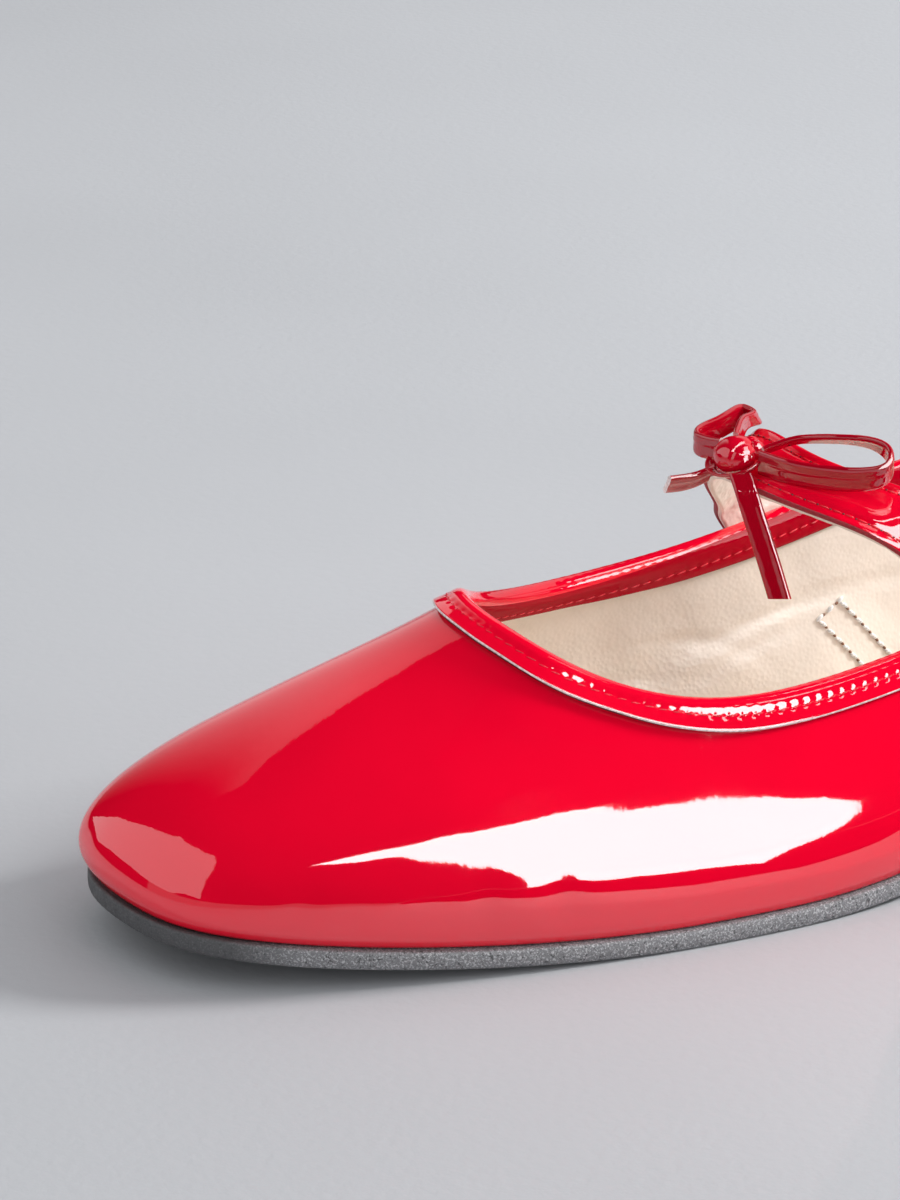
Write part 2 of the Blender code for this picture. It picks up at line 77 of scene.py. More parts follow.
# Sole, heel and leather
OUTSOLE_THICKNESS = 0.0032
SOLE_LEDGE = 0.0008
HEEL_HEIGHT = 0.0065
HEEL_LENGTH = 0.052
HEEL_INSET = 0.0004
TOE_SPRING = 0.0063
TOE_CURVE = 1.7
INSOLE_THICKNESS = 0.002
WALL = 0.0016
LASTING_MARGIN = 0.006
SHELL_THICKNESS = 0.0009
LINING_BACK = 0.00105
BINDING_LEAF = 0.0008
BINDING_OUTSIDE = 0.0056
BINDING_INSIDE = 0.0058
GAP = 0.0003

# Strap and bow
STRAP_WIDTH = 0.0118
STRAP_THICKNESS = 0.002
STRAP_PLACE = 0.1082
STRAP_REACH = 0.018
STRAP_SKEW = 0.003
STRAP_RISE = 0.0205
STRAP_TAIL = 0.035
STRAP_LEAVES_AT = 0.0025
STRAP_SLANT = math.radians(30)
KNOT_LENGTH = 0.0076
KNOT_WIDTH = 0.0068
KNOT_HEIGHT = 0.0058
KNOT_SHIFT = 0.0040
KNOT_ACROSS = -0.0025
LOOP_LENGTH = 0.026
TAIL_LENGTH = 0.024
RIBBON_WIDTH = 0.0048
FAR_RIBBON_WIDTH = 0.0040
TAIL_WIDTH = 0.0038
RIBBON_THICKNESS = 0.0011
LIP_THICKNESS = 0.00062

HEEL_SETBACK = HEEL_LENGTH / 2
BALL_BACK = 0.600 * LAST_LENGTH
BALL_FRONT = 0.670 * LAST_LENGTH
WAIST_RUN = 0.360 * LAST_LENGTH
SEAT_RISE = OUTSOLE_THICKNESS + GAP
ROLL_DEPTH = WALL / 2 + GAP + BINDING_LEAF
WALK_STEPS = 6
NUDGE = 1e-4

# Stitch rows: their depth below the topline outside and inside, and in from the strap's edges
OUTER_SEAM_DEPTH = 0.0031
INNER_SEAM_DEPTH = 0.0040
STRAP_SEAM_INSET = 0.0019
# How much of the pitch a stitch fills, how much the thread's lengths vary, and how wide a needle hole is
TOPLINE_STITCH = 0.76
STRAP_STITCH = 0.72
ANCHOR_STITCH = 0.80
STITCH_UNEVENNESS = 0.07
HOLE_WIDTH = 0.62
ANCHOR_THREAD = 2.4
TACK_THICKNESS = 0.00032
# The clear lacquer over the dyed leather
LACQUER_ROUGHNESS = 0.035
LACQUER_IOR = 1.95
LACQUER_SWELL = 0.0075
LACQUER_GRAIN = 0.0011

Section = namedtuple(
    "Section",
    "place along across width top_along top_across top_rise rise swell lift lean crown",
)
SECTIONS = (
    Section("heel back", 0.0, 0.0, HEEL_WIDTH, 0.0, 0.0, 1.0, BACK_RISE, 1.0, 0.52, 0.46, 0.21),
    Section("heel outer", 0.037, 0.324, HEEL_WIDTH, 0.044, 0.256, 0.966, BACK_RISE, 1.0, 0.52, 0.46, 0.21),
    Section("seat outer", 0.145, 0.5, HEEL_WIDTH, 0.167, 0.412, 0.91, BACK_RISE, 1.0, 0.52, 0.46, 0.21),
    Section("waist outer", 0.322, 0.568, WAIST_WIDTH, 0.406, 0.44, 0.788, BACK_RISE, 1.0, 0.52, 0.46, 0.21),
    Section("joint outer", 0.479, 0.495, BALL_WIDTH, 0.58, 0.464, 0.95, SIDE_RISE, 0.85, 0.38, 0.42, 0.22),
    Section("ball outer", 0.642, 0.511, BALL_WIDTH, 0.812, 0.49, 0.933, SIDE_RISE, 0.25, 0.31, 0.36, 0.26),
    Section("toes outer", 0.843, 0.374, BALL_WIDTH, 0.941, 0.33, 0.842, THROAT_RISE, 0.65, 0.41, 0.43, 0.26),
    Section("corner outer", 0.975, 0.345, TOE_WIDTH, 0.994, 0.178, 0.962, THROAT_RISE, 0.9, 0.33, 0.42, 0.38),
    Section("toe", 0.999, -0.08, TOE_WIDTH, 1.003, -0.02, 0.997, THROAT_RISE, 1.2, 0.36, 0.46, 0.385),
    Section(
        "corner inner", 0.984, -0.675, TOE_WIDTH, 0.985, -0.175, 0.975, THROAT_RISE, 1.4, 0.36, 0.46, 0.365,
    ),
    Section("toes inner", 0.847, -0.407, BALL_WIDTH, 0.94, -0.325, 0.872, THROAT_RISE, 1.1, 0.42, 0.46, 0.35),
    Section("ball inner", 0.712, -0.485, BALL_WIDTH, 0.836, -0.445, 0.972, SIDE_RISE, 0.8, 0.45, 0.42, 0.24),
    Section("joint inner", 0.517, -0.329, BALL_WIDTH, 0.617, -0.468, 1.004, SIDE_RISE, 1.0, 0.52, 0.46, 0.21),
    Section("waist inner", 0.351, -0.43, WAIST_WIDTH, 0.442, -0.457, 0.85, BACK_RISE, 1.0, 0.52, 0.46, 0.21),
    Section("seat inner", 0.145, -0.5, HEEL_WIDTH, 0.171, -0.412, 0.91, BACK_RISE, 1.0, 0.52, 0.46, 0.21),
    Section("heel inner", 0.037, -0.324, HEEL_WIDTH, 0.044, -0.252, 0.966, BACK_RISE, 1.0, 0.52, 0.46, 0.21),
)

Arch = namedtuple("Arch", "reach across lift tilt")
STRAP_ARCH = (
    Arch(0.38, -0.435, 0.34, 34),
    Arch(0.69, -0.341, 0.64, 33),
    Arch(0.97, -0.137, 0.93, 26),
    Arch(0.98, 0.065, 0.94, 20),
    Arch(0.64, 0.239, 0.83, 21),
    Arch(0.37, 0.360, 0.725, 23),
    Arch(0.20, 0.440, 0.590, 25),
    Arch(0.06, 0.495, 0.400, 28),
)
STRAP_SEWN = (1.00, 0.78, 0.58, 0.42, 0.24)

# Routes of the ribbons from the knot's centre, as shares of each ribbon's length, and its width's direction
Turn = namedtuple("Turn", "toeward outward up wide_toe wide_out wide_up")
NEAR_LOOP = (
    Turn(-0.120, 0.120, 0.035, 0.40, 0.72, 0.50),
    Turn(-0.296, 0.212, 0.105, 0.40, 0.72, 0.46),
    Turn(-0.423, 0.365, 0.140, 0.40, 0.72, 0.46),
    Turn(-0.546, 0.519, 0.155, 0.40, 0.70, 0.50),
    Turn(-0.618, 0.650, 0.145, 0.40, 0.60, 0.62),
    Turn(-0.615, 0.780, 0.100, 0.34, 0.44, 0.80),
    Turn(-0.550, 0.835, 0.045, 0.24, 0.34, 0.91),
    Turn(-0.454, 0.750, -0.008, 0.17, 0.29, 0.94),
    Turn(-0.331, 0.596, -0.030, 0.17, 0.29, 0.94),
    Turn(-0.204, 0.442, -0.028, 0.17, 0.29, 0.94),
    Turn(-0.110, 0.300, -0.014, 0.17, 0.29, 0.94),
    Turn(-0.070, 0.175, -0.008, 0.17, 0.29, 0.94),
)
FAR_LOOP = (
    Turn(0.000, -0.165, -0.013, 0.0, 0.10, 0.99),
    Turn(0.030, -0.250, -0.023, 0.0, 0.05, 1.0),
    Turn(0.050, -0.340, -0.023, 0.0, 0.0, 1.0),
    Turn(0.005, -0.420, -0.021, 0.0, 0.0, 1.0),
    Turn(-0.200, -0.505, -0.013, 0.0, -0.10, 0.99),
    Turn(-0.390, -0.588, -0.005, 0.10, -0.20, 0.97),
    Turn(-0.500, -0.618, -0.013, 0.30, -0.20, 0.93),
    Turn(-0.510, -0.550, -0.003, 0.50, 0.10, 0.86),
    Turn(-0.365, -0.410, 0.037, 0.55, 0.35, 0.76),
    Turn(-0.210, -0.260, 0.047, 0.50, 0.40, 0.77),
    Turn(-0.115, -0.150, 0.037, 0.50, 0.40, 0.77),
)
NEAR_TAIL = (
    Turn(0.070, 0.180, -0.070, -0.86, 0.50, 0.0),
    Turn(0.085, 0.265, -0.150, -0.86, 0.50, 0.0),
    Turn(0.070, 0.345, -0.310, -0.86, 0.50, 0.0),
    Turn(0.030, 0.435, -0.545, -0.86, 0.50, 0.0),
    Turn(-0.020, 0.540, -0.850, -0.86, 0.50, 0.0),
)
FAR_TAIL = (
    Turn(0.130, -0.090, -0.130, 0.0, 0.50, 0.87),
    Turn(0.200, -0.140, -0.175, 0.0, 0.50, 0.87),
    Turn(0.310, -0.160, -0.190, 0.0, 0.50, 0.87),
    Turn(0.430, -0.160, -0.180, 0.0, 0.50, 0.87),
)

# Soft folds of the upper: where each lies as a share of the way round and of the wall's height,
# its half length and half width, how deep it is, and its slant from the sole line in degrees.
Fold = namedtuple("Fold", "round height length width depth slant")
UPPER_FOLDS = (
    Fold(0.395, 0.16, 0.0060, 0.0022, 0.00022, 70),
    Fold(0.412, 0.12, 0.0050, 0.0018, 0.00018, 82),
    Fold(0.432, 0.14, 0.0060, 0.0024, -0.00016, 96),
    Fold(0.452, 0.11, 0.0045, 0.0018, 0.00016, 100),
    Fold(0.520, 0.12, 0.0050, 0.0020, 0.00018, 90),
    Fold(0.548, 0.13, 0.0055, 0.0022, 0.00020, 80),
    Fold(0.225, 0.34, 0.0160, 0.0045, 0.00016, 12),
    Fold(0.610, 0.52, 0.0240, 0.0060, 0.00022, -22),
    Fold(0.660, 0.40, 0.0180, 0.0050, 0.00018, 14),
    Fold(0.720, 0.55, 0.0160, 0.0050, -0.00018, 10),
    Fold(0.120, 0.50, 0.0180, 0.0060, 0.00018, -12),
    Fold(0.880, 0.50, 0.0180, 0.0060, 0.00018, 12),
)
# Broad, shallow fullness of the wall over the joint of the toes, outward, by the same rule
WALL_FULLNESS = (
    Fold(0.325, 0.40, 0.0450, 0.0125, -0.0018, 0),
)
# The same for the lining's looser creases
LINING_FOLDS = (
    Fold(0.748, 0.20, 0.0170, 0.0052, -0.00150, 0),
    Fold(0.765, 0.385, 0.0240, 0.0012, 0.00055, 2),
    Fold(0.728, 0.345, 0.0110, 0.0010, 0.00035, -16),
    Fold(0.690, 0.22, 0.0180, 0.0012, 0.00035, 6),
    Fold(0.655, 0.20, 0.0120, 0.0010, 0.00030, -8),
    Fold(0.715, 0.33, 0.0130, 0.0014, 0.00025, 18),
    Fold(0.640, 0.38, 0.0140, 0.0016, 0.00022, -14),
    Fold(0.745, 0.26, 0.0120, 0.0012, 0.00028, 12),
    Fold(0.780, 0.36, 0.0120, 0.0016, 0.00022, -20),
    Fold(0.300, 0.30, 0.0140, 0.0014, 0.00025, 10),
    Fold(0.250, 0.26, 0.0120, 0.0012, 0.00025, -10),
)

# Sewing of the strap's inner end, seen on the lining, as (x, z) places on the inner wall
ANCHOR_ROWS = (
    ("anchor_stitches_toe", ((0.0739, 0.0206), (0.0672, 0.0125))),
    ("anchor_stitches_heel", ((0.0694, 0.0231), (0.0614, 0.0134))),
    ("anchor_stitches_top", ((0.0744, 0.0217), (0.0700, 0.0241))),
)
# Tacks beside the knot: back along the strap's width, outward, and how far each runs
TACKS = (
    (0.0046, -0.0004, 0.0016),
    (0.0040, 0.0022, 0.0020),
)

# The photographed view and the studio round it
CAMERA_PLACE = (0.518871, 0.617043, 0.326551)
CAMERA_AIM = (0.159948, 0.0, 0.049574)
LENS = 148.1
CARD_CENTRE = (0.10, 0.02, 0.02)
CARD_DISTANCE = 1.2
# Corners are (azimuth, elevation) in degrees, seen from the middle of the shoe
KEY_CARD = [
    (53, 46), (61, 47), (72, 46), (80, 45), (89, 42), (97, 43.5), (102, 41.5), (103, 36.8),
    (105, 34.6), (106, 32.6), (108, 28), (111, 24), (114, 20.5), (117, 14), (116.5, 8), (115, 4),
    (112, -0.8), (103, -0.9),
    (90, -0.9), (88.6, 8), (85, 16.5), (82.4, 25), (79, 32), (72, 40), (67, 41),
]
FAR_CARDS = (
    ("front_card", [
        (-77, 4), (-67, 24.6), (-57, 37.6), (-43.6, 48.6), (-26, 54), (-8.8, 56.5), (0, 54), (6.8, 48.7),
        (15, 33.6), (19, 13), (7, 17), (-3, 11), (-20, 13), (-35, 15), (-48, 12.5), (-60, 6),
    ], 0.88),
    ("low_card", [(-20, -0.8), (-20, 13), (10, 10), (45, 7.3), (64, 3.3), (76, -0.8)], 0.28),
    ("back_card", [(150, 8), (150, 36), (200, 46), (240, 36), (240, 8), (195, 12)], 0.5),
    ("high_card", [(111, 43), (114, 62), (150, 74), (178, 72), (178, 50), (140, 40)], 4.0),
)
# The panel past the inner side is brightest at its first edge and fades towards its second
FADING_CARD = (
    [(-106, -0.8), (-106, 8), (-104, 18), (-99, 30), (-91, 42), (-80, 51), (-66, 56)],
    [(-82, -0.8), (-82, 8), (-81, 18), (-79, 29), (-75, 39), (-70, 45.5), (-64, 51)],
)
FADING_LEVELS = (1.0, 0.85, 0.62, 0.38, 0.19, 0.07, 0.0)
FADING_ROWS = (1.0, 1.0, 1.0, 1.0, 0.8, 0.45, 0.2)
# A dark card over the near topline, which keeps the high panel's image off the near roll
SHADE_CARD = [
    (-0.03, 0.020), (0.06, 0.026), (0.12, 0.022), (0.165, 0.010), (0.178, 0.030), (0.13, 0.062), (0.0, 0.066),
]
SHADE_HEIGHT = 0.078
# On the floor: where the lacquer mirrors the key panel's foot, and the dark cloth between it and the shoe
FLOOR_KEY = [
    (0.106, 0.102), (0.099, 0.176), (0.080, 0.38), (0.092, 0.49),
    (0.078, 1.20), (-0.35, 1.12), (0.068, 0.188),
]
FLOOR_DARK = [
    (0.46, 1.10), (0.361, 0.894), (0.250, 0.34), (0.178, 0.122), (0.146, 0.096), (0.127, 0.075),
    (0.109, 0.069), (0.085, 0.072), (0.03, 0.10), (-0.10, 0.20), (-0.90, 0.80), (-0.60, 1.60), (0.40, 1.60),
]
# An upright sheet over the near topline, mirrored only by the far topline's roll
ROLL_SHEET = [(0.056, 0.027, 0.060), (0.104, 0.027, 0.060), (0.104, 0.027, 0.106), (0.056, 0.027, 0.106)]
LAMP_PLACE = (-1.16, 0.44, 0.84)
LAMP_SIZE = 0.40
SNOOT_PLACE = (0.02, 0.52, 0.62)
SNOOT_AIM = (0.085, -0.02, 0.018)
SNOOT_ANGLE = math.radians(11.0)
SNOOT_SIZE = 0.10
WHITE = (1.0, 1.0, 1.0, 1.0)
FILL_COLOUR = (0.95, 0.97, 1.0, 1.0)
DARK_FILL = 0.004


def unit(vectors):
    return vectors / np.linalg.norm(vectors, axis=-1, keepdims=True)


def rocker(x):
    """Height of the outsole's underside: flat under the ball, up to the heel and up at the toe."""
    along = x + HEEL_SETBACK
    waist = np.clip((BALL_BACK - along) / WAIST_RUN, 0.0, 1.0)
    toe = np.clip((along - BALL_FRONT) / (LAST_LENGTH - BALL_FRONT), 0.0, None)
    return HEEL_HEIGHT * waist**2 * (3 - 2 * waist) + TOE_SPRING * toe**TOE_CURVE


def seat(x):
    """Height of the face that the upper stands on."""
    return rocker(x) + SEAT_RISE


def spline_slopes(gaps, values, closed):
    """Slopes at the knots that keep the curve's bending even, with free ends where it is open."""
    count = len(values)
    system = np.zeros((count, count))
    right = np.zeros_like(values)
    for i in range(count):
        if not closed and i in (0, count - 1):
            near, step = (1, gaps[0]) if i == 0 else (count - 2, gaps[-1])
            system[i, i], system[i, near] = 2.0, 1.0
            right[i] = 3 * abs(near - i) * (values[near] - values[i]) / (step * (near - i))
            continue
        before, after = gaps[i - 1], gaps[i % len(gaps)]
        following = (i + 1) % count
        system[i, i - 1] += 1 / before
        system[i, i] += 2 / before + 2 / after
        system[i, following] += 1 / after
        right[i] = 3 * ((values[i] - values[i - 1]) / before**2 + (values[following] - values[i]) / after**2)
    return np.linalg.solve(system, right)


def spline(knots, values, closed):
    """A smooth curve through one row of values at each knot, as a function of the place along it."""
    values = np.asarray(values, float)
    gaps = np.diff(knots)
    slopes = spline_slopes(gaps, values[:-1] if closed else values, closed)
    if closed:
        slopes = np.vstack([slopes, slopes[:1]])

    def curve(place):
        place = np.asarray(place, float)
        if closed:
            place = np.mod(place, knots[-1])
        i = np.clip(np.searchsorted(knots, place, side="right") - 1, 0, len(gaps) - 1)
        gap = gaps[i][..., None]
        t = (place - knots[i])[..., None] / gap
        start, end = values[i], values[i + 1]
        return (
            (1 + 2 * t) * (1 - t) ** 2 * start
            + t**2 * (3 - 2 * t) * end
            + gap * t * (1 - t) * ((1 - t) * slopes[i] - t * slopes[i + 1])
        )

    return curve


def chord_knots(points):
    """Distance along a row of points, from zero at its first one."""
    return np.append(0.0, np.cumsum(np.linalg.norm(np.diff(points, axis=0), axis=1)))


def section_rows():
    """Feather point, topline point and wall shape of each section, in metres."""
    rows = []
    for row in SECTIONS:
        feather = (row.along * LAST_LENGTH - HEEL_SETBACK, row.across * row.width)
        top_x = BACK_LEAN + row.top_along * OPENING_LENGTH - HEEL_SETBACK
        top = (top_x, row.top_across * OPENING_WIDTH, seat(top_x) + row.top_rise * row.rise)
        rows.append((*feather, *top, row.swell * BULGE, row.lift, row.lean, row.crown))
    return np.array(rows + rows[:1])


ROWS = section_rows()
ROUND_KNOTS = chord_knots((ROWS[:, 0:2] + ROWS[:, 2:4]) / 2)
ROUND_LENGTH = ROUND_KNOTS[-1]
TOE_PLACE = ROUND_KNOTS[[row.place for row in SECTIONS].index("toe")]
AROUND = spline(ROUND_KNOTS, ROWS, closed=True)


def feather_edge(u, outward=0.0):
    """Points of the feather edge seen from above, moved outward from it."""
    points = AROUND(u)[..., 0:2]
    tangent = unit(AROUND(u + NUDGE)[..., 0:2] - AROUND(u - NUDGE)[..., 0:2])
    return points + outward * np.stack([-tangent[..., 1], tangent[..., 0]], axis=-1)


def wall_surface(u, t):
    """Outer face of the upper: u runs round the shoe in metres, t from 0 at the sole to 1 at the topline."""
    row = AROUND(u)
    feather, top = row[..., 0:2], row[..., 2:5]
    bulge, lift, lean, crown = (row[..., k, None] for k in range(5, 9))
    foot = np.concatenate([feather, seat(feather[..., 0:1])], axis=-1)
    climb = top[..., 2:3] - foot[..., 2:3]
    outward = feather_edge(u, 1.0) - feather
    low = foot + np.concatenate([outward * bulge, climb * lift], axis=-1)
    high = top - np.concatenate([(top - foot)[..., 0:2] * lean, climb * crown], axis=-1)
    t = np.asarray(t, float)[..., None]
    return (1 - t) ** 3 * foot + 3 * (1 - t) ** 2 * t * low + 3 * (1 - t) * t**2 * high + t**3 * top


def wall_slopes(u, t):
    """How the wall's outer face runs round the shoe and up it."""
    along = (wall_surface(u + NUDGE, t) - wall_surface(u - NUDGE, t)) / (2 * NUDGE)
    up = (wall_surface(u, t + NUDGE) - wall_surface(u, t - NUDGE)) / (2 * NUDGE)
    return along, up


def wall_normal(u, t):
    """The wall's outward direction."""
    along, up = wall_slopes(u, t)
    return unit(np.cross(up, along))


def walk_down(u, depth):
    """The place on the wall at this depth below the topline, measured square to the topline."""
    u = np.array(u, float)
    t = np.ones_like(u)
    for _ in range(WALK_STEPS):
        along, up = wall_slopes(u, t)
        length = np.linalg.norm(along, axis=-1)
        drift = (along * up).sum(axis=-1) / length
        steep = np.sqrt((up**2).sum(axis=-1) - drift**2)
        u = u + depth / WALK_STEPS * drift / (steep * length)
        t = t - depth / WALK_STEPS / steep
    return u, t


def smooth_along(points, steps):
    """A smooth curve through [station, ...] points, read at an even number of steps."""
    flat = points.reshape(len(points), -1)
    knots = chord_knots(points[:, points.shape[1] // 2])
    curve = spline(knots, flat, closed=False)
    return curve(np.linspace(0.0, knots[-1], steps + 1)).reshape((steps + 1,) + points.shape[1:])


def wall_place(x, z, side):
    """Where on the wall a point with this x and z lies: side is 1 for the outer wall, -1 for the inner."""
    low, high = (0.0, TOE_PLACE) if side > 0 else (TOE_PLACE, ROUND_LENGTH)
    u, t = np.meshgrid(np.linspace(low, high, 200), np.linspace(0.05, 1.0, 20))
    points = wall_surface(u, t)
    near = np.argmin((points[..., 0] - x) ** 2 + (points[..., 2] - z) ** 2)
    u, t = u.flat[near], t.flat[near]
    for _ in range(4):
        point = wall_surface(u, t)
        along, up = wall_slopes(u, t)
        du, dt = np.linalg.solve([[along[0], up[0]], [along[2], up[2]]], [x - point[0], z - point[2]])
        u, t = u + du, t + dt
    return u, t


def strap_rails():
    """Lines along the strap, from its inner end to its outer end, as [station, rail, xyz]."""
    shares = np.linspace(-0.5, 0.5, 5)
    wide = np.array([-math.cos(STRAP_SLANT), 0.0, math.sin(STRAP_SLANT)])
    upward = np.array([math.sin(STRAP_SLANT), 0.0, math.cos(STRAP_SLANT)])
    over_binding = 2 * GAP + BINDING_LEAF + STRAP_THICKNESS / 2
    on_wall = GAP + STRAP_THICKNESS / 2
    stations = {}
    for side in (-1, 1):
        cross_x = STRAP_PLACE - side * STRAP_SKEW - HEEL_SETBACK
        top = wall_surface(*wall_place(cross_x, seat(cross_x) + SIDE_RISE, side))
        crossing = np.array([cross_x, top[1] + side * (over_binding + 2 * GAP), top[2] + STRAP_LEAVES_AT])
        tail = []
        for share in STRAP_SEWN:
            middle = crossing - share * STRAP_TAIL * upward
            proud = over_binding if share * STRAP_TAIL < 2.8 * BINDING_OUTSIDE else on_wall
            row = []
            for across in shares:
                point = middle + across * STRAP_WIDTH * wide
                place = wall_place(point[0], point[2], side)
                row.append(wall_surface(*place) + proud * wall_normal(*place))
            tail.append(row)
        stations[side] = tail + [[crossing + across * STRAP_WIDTH * wide for across in shares]]
    arch = []
    for row in STRAP_ARCH:
        x = STRAP_PLACE + row.reach * STRAP_REACH - HEEL_SETBACK
        z = seat(STRAP_PLACE - HEEL_SETBACK) + SIDE_RISE + row.lift * STRAP_RISE
        middle = np.array([x, row.across * OPENING_WIDTH, z])
        tilt = math.radians(row.tilt)
        tilted = np.array([-math.cos(tilt), 0.0, math.sin(tilt)])
        arch.append([middle + across * STRAP_WIDTH * tilted for across in shares])
    return np.array(stations[-1] + arch + stations[1][::-1])


def knot_place(rails):
    """Centre of the knot, and the strap's width and normal directions under it."""
    stations = smooth_along(rails, 200)
    arch = stations[stations[:, 0, 2] > seat(STRAP_PLACE) + SIDE_RISE + STRAP_RISE / 2]
    middle = arch[np.argmin(abs(arch[:, 2, 1] - KNOT_ACROSS))]
    wide = unit(middle[-1] - middle[0])
    normal = np.array([wide[2], 0.0, -wide[0]])
    lift = STRAP_THICKNESS / 2 + GAP + KNOT_HEIGHT / 2
    return middle[2] - KNOT_SHIFT * wide + lift * normal, wide, normal


def waves(points, pitch, seed):
    """Smooth unevenness between -1 and 1, from a few sines of mixed direction at about this pitch."""
    rng = np.random.default_rng(seed)
    total = np.zeros(points.shape[:-1])
    for _ in range(9):
        direction = unit(rng.normal(size=3)) * rng.uniform(0.6, 1.6) / pitch
        total += np.sin(2 * math.pi * (points @ direction + rng.uniform()))
    return total / 4.5


def fold_relief(u, t, folds):
    """Inward depth of the listed folds at places on the wall."""
    relief = np.zeros(np.broadcast(u, t).shape)
    for fold in folds:
        du = (np.mod(u / ROUND_LENGTH - fold.round + 0.5, 1.0) - 0.5) * ROUND_LENGTH
        dh = (t - fold.height) * SIDE_RISE
        slant = math.radians(fold.slant)
        along = du * math.cos(slant) + dh * math.sin(slant)
        across = dh * math.cos(slant) - du * math.sin(slant) + 0.15 * along**2 / fold.length
        relief += fold.depth * np.exp(-((along / fold.length) ** 2) - (across / fold.width) ** 2)
    return relief


def ring_faces(rows, count, closed):
    """Four-sided faces between rows of points, each row closed on itself."""
    last = rows if closed else rows - 1
    i, j = np.meshgrid(np.arange(last), np.arange(count), indexing="ij")
    following, beside = (i + 1) % rows, (j + 1) % count
    corners = (i * count + j, i * count + beside, following * count + beside, following * count + j)
    return np.stack(corners, axis=-1).reshape(-1, 4)


def place_object(name, data):
    """An object at the origin, in the scene."""
    placed = bpy.data.objects.new(name, data)
    bpy.context.scene.collection.objects.link(placed)
    return placed


def signed_volume(points, faces):
    """Six times the volume that the faces enclose, below zero where they point inward."""
    total = 0.0
    for k in range(1, faces.shape[1] - 1):
        a, b, c = points[faces[:, 0]], points[faces[:, k]], points[faces[:, k + 1]]
        total += np.einsum("ij,ij->", a, np.cross(b, c))
    return total


def make_piece(name, points, faces, materials, which=None, caps=()):
    """A smooth closed mesh object from arrays, faces outward, with a material number for each face."""
    points = np.asarray(points, float).reshape(-1, 3)
    caps = [np.asarray(cap) for cap in caps]
    volume = signed_volume(points, faces) + sum(signed_volume(points, cap[None, :]) for cap in caps)
    if volume < 0:
        faces = faces[:, ::-1]
        caps = [cap[::-1] for cap in caps]
    mesh = bpy.data.meshes.new(name)
    mesh.from_pydata(points.tolist(), [], faces.tolist() + [cap.tolist() for cap in caps])
    for material in materials:
        mesh.materials.append(material)
    if which is not None:
        numbers = np.full(len(mesh.polygons), len(materials) - 1, np.int32)
        numbers[: len(which)] = which
        mesh.polygons.foreach_set("material_index", numbers)
    mesh.shade_smooth()
    if caps:
        mesh.set_sharp_from_angle(angle=math.radians(60))
    merge_doubles(mesh)
    return place_object(name, mesh)


def merge_doubles(mesh):
    """Points that lie on one another, such as at a plate's tips, become one."""
    shape = bmesh.new()
    shape.from_mesh(mesh)
    bmesh.ops.remove_doubles(shape, verts=shape.verts, dist=1e-7)
    shape.to_mesh(mesh)
    shape.free()
    mesh.update()


def settle(piece, slot, *replaced):
    """The finished piece rides on the shoe's one body and hides the imported parts it replaces; slot is not
    used.
    """
    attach(piece, BODY)
    if replaced:
        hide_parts(*replaced)
    return piece


def ring_lengths(points):
    """Distance from the first point along a closed row, with the whole round as its last value."""
    return chord_knots(np.vstack([points, points[:1]]))


# Finishes


def set_inputs(node, values):
    for name, value in values.items():
        node.inputs[name].default_value = value


def add_node(tree, kind, values=None, **settings):
    """A node with its settings and the values of its unlinked input sockets."""
    node = tree.nodes.new(kind)
    for name, value in settings.items():
        setattr(node, name, value)
    set_inputs(node, values or {})
    return node


def object_place(tree, stretch=(1.0, 1.0, 1.0)):
    """Object coordinates in metres, stretched."""
    place = add_node(tree, "ShaderNodeTexCoord")
    mapping = add_node(tree, "ShaderNodeMapping", {"Scale": stretch})
    tree.links.new(place.outputs["Object"], mapping.inputs["Vector"])
    return mapping.outputs["Vector"]


def grain(tree, pitch, detail=2.0, roughness=0.5, stretch=(1.0, 1.0, 1.0)):
    """A noise whose spots are about this pitch apart, in metres."""
    values = {"Scale": 1.0 / pitch, "Detail": detail, "Roughness": roughness}
    noise = add_node(tree, "ShaderNodeTexNoise", values)
    tree.links.new(object_place(tree, stretch), noise.inputs["Vector"])
    return noise.outputs["Fac"]


def pebbles(tree, pitch):
    """Rounded cells about this pitch apart, in metres."""
    cells = add_node(tree, "ShaderNodeTexVoronoi", feature="SMOOTH_F1")
    set_inputs(cells, {"Scale": 1.0 / pitch, "Smoothness": 0.6})
    tree.links.new(object_place(tree), cells.inputs["Vector"])
    return cells.outputs["Distance"]


def spread(tree, source, low, high, out_low, out_high):
    """The source's range from low to high carried to another range, and held there."""
    values = {"From Min": low, "From Max": high, "To Min": out_low, "To Max": out_high}
    span = add_node(tree, "ShaderNodeMapRange", values)
    tree.links.new(source, span.inputs["Value"])
    return span.outputs["Result"]


def blend_colours(tree, share, first, second):
    mix = add_node(tree, "ShaderNodeMix", data_type="RGBA")
    tree.links.new(share, mix.inputs[0])
    for socket, colour in ((mix.inputs[6], first), (mix.inputs[7], second)):
        if isinstance(colour, bpy.types.NodeSocket):
            tree.links.new(colour, socket)
        else:
            socket.default_value = (*colour, 1.0)
    return mix.outputs[2]


def emboss(tree, height, depth, below=None):
    """A bump this deep in metres, laid over another one."""
    bump = add_node(tree, "ShaderNodeBump", {"Strength": 1.0, "Distance": depth})
    tree.links.new(height, bump.inputs["Height"])
    if below is not None:
        tree.links.new(below, bump.inputs["Normal"])
    return bump.outputs["Normal"]


def new_finish(name, colour, roughness):
    material = bpy.data.materials.new(name)
    material.use_nodes = True
    shader = material.node_tree.nodes["Principled BSDF"]
    set_inputs(shader, {"Base Color": (*colour, 1.0), "Roughness": roughness})
    return material, material.node_tree, shader


def shade(colour, factor):
    return tuple(channel * factor for channel in colour)


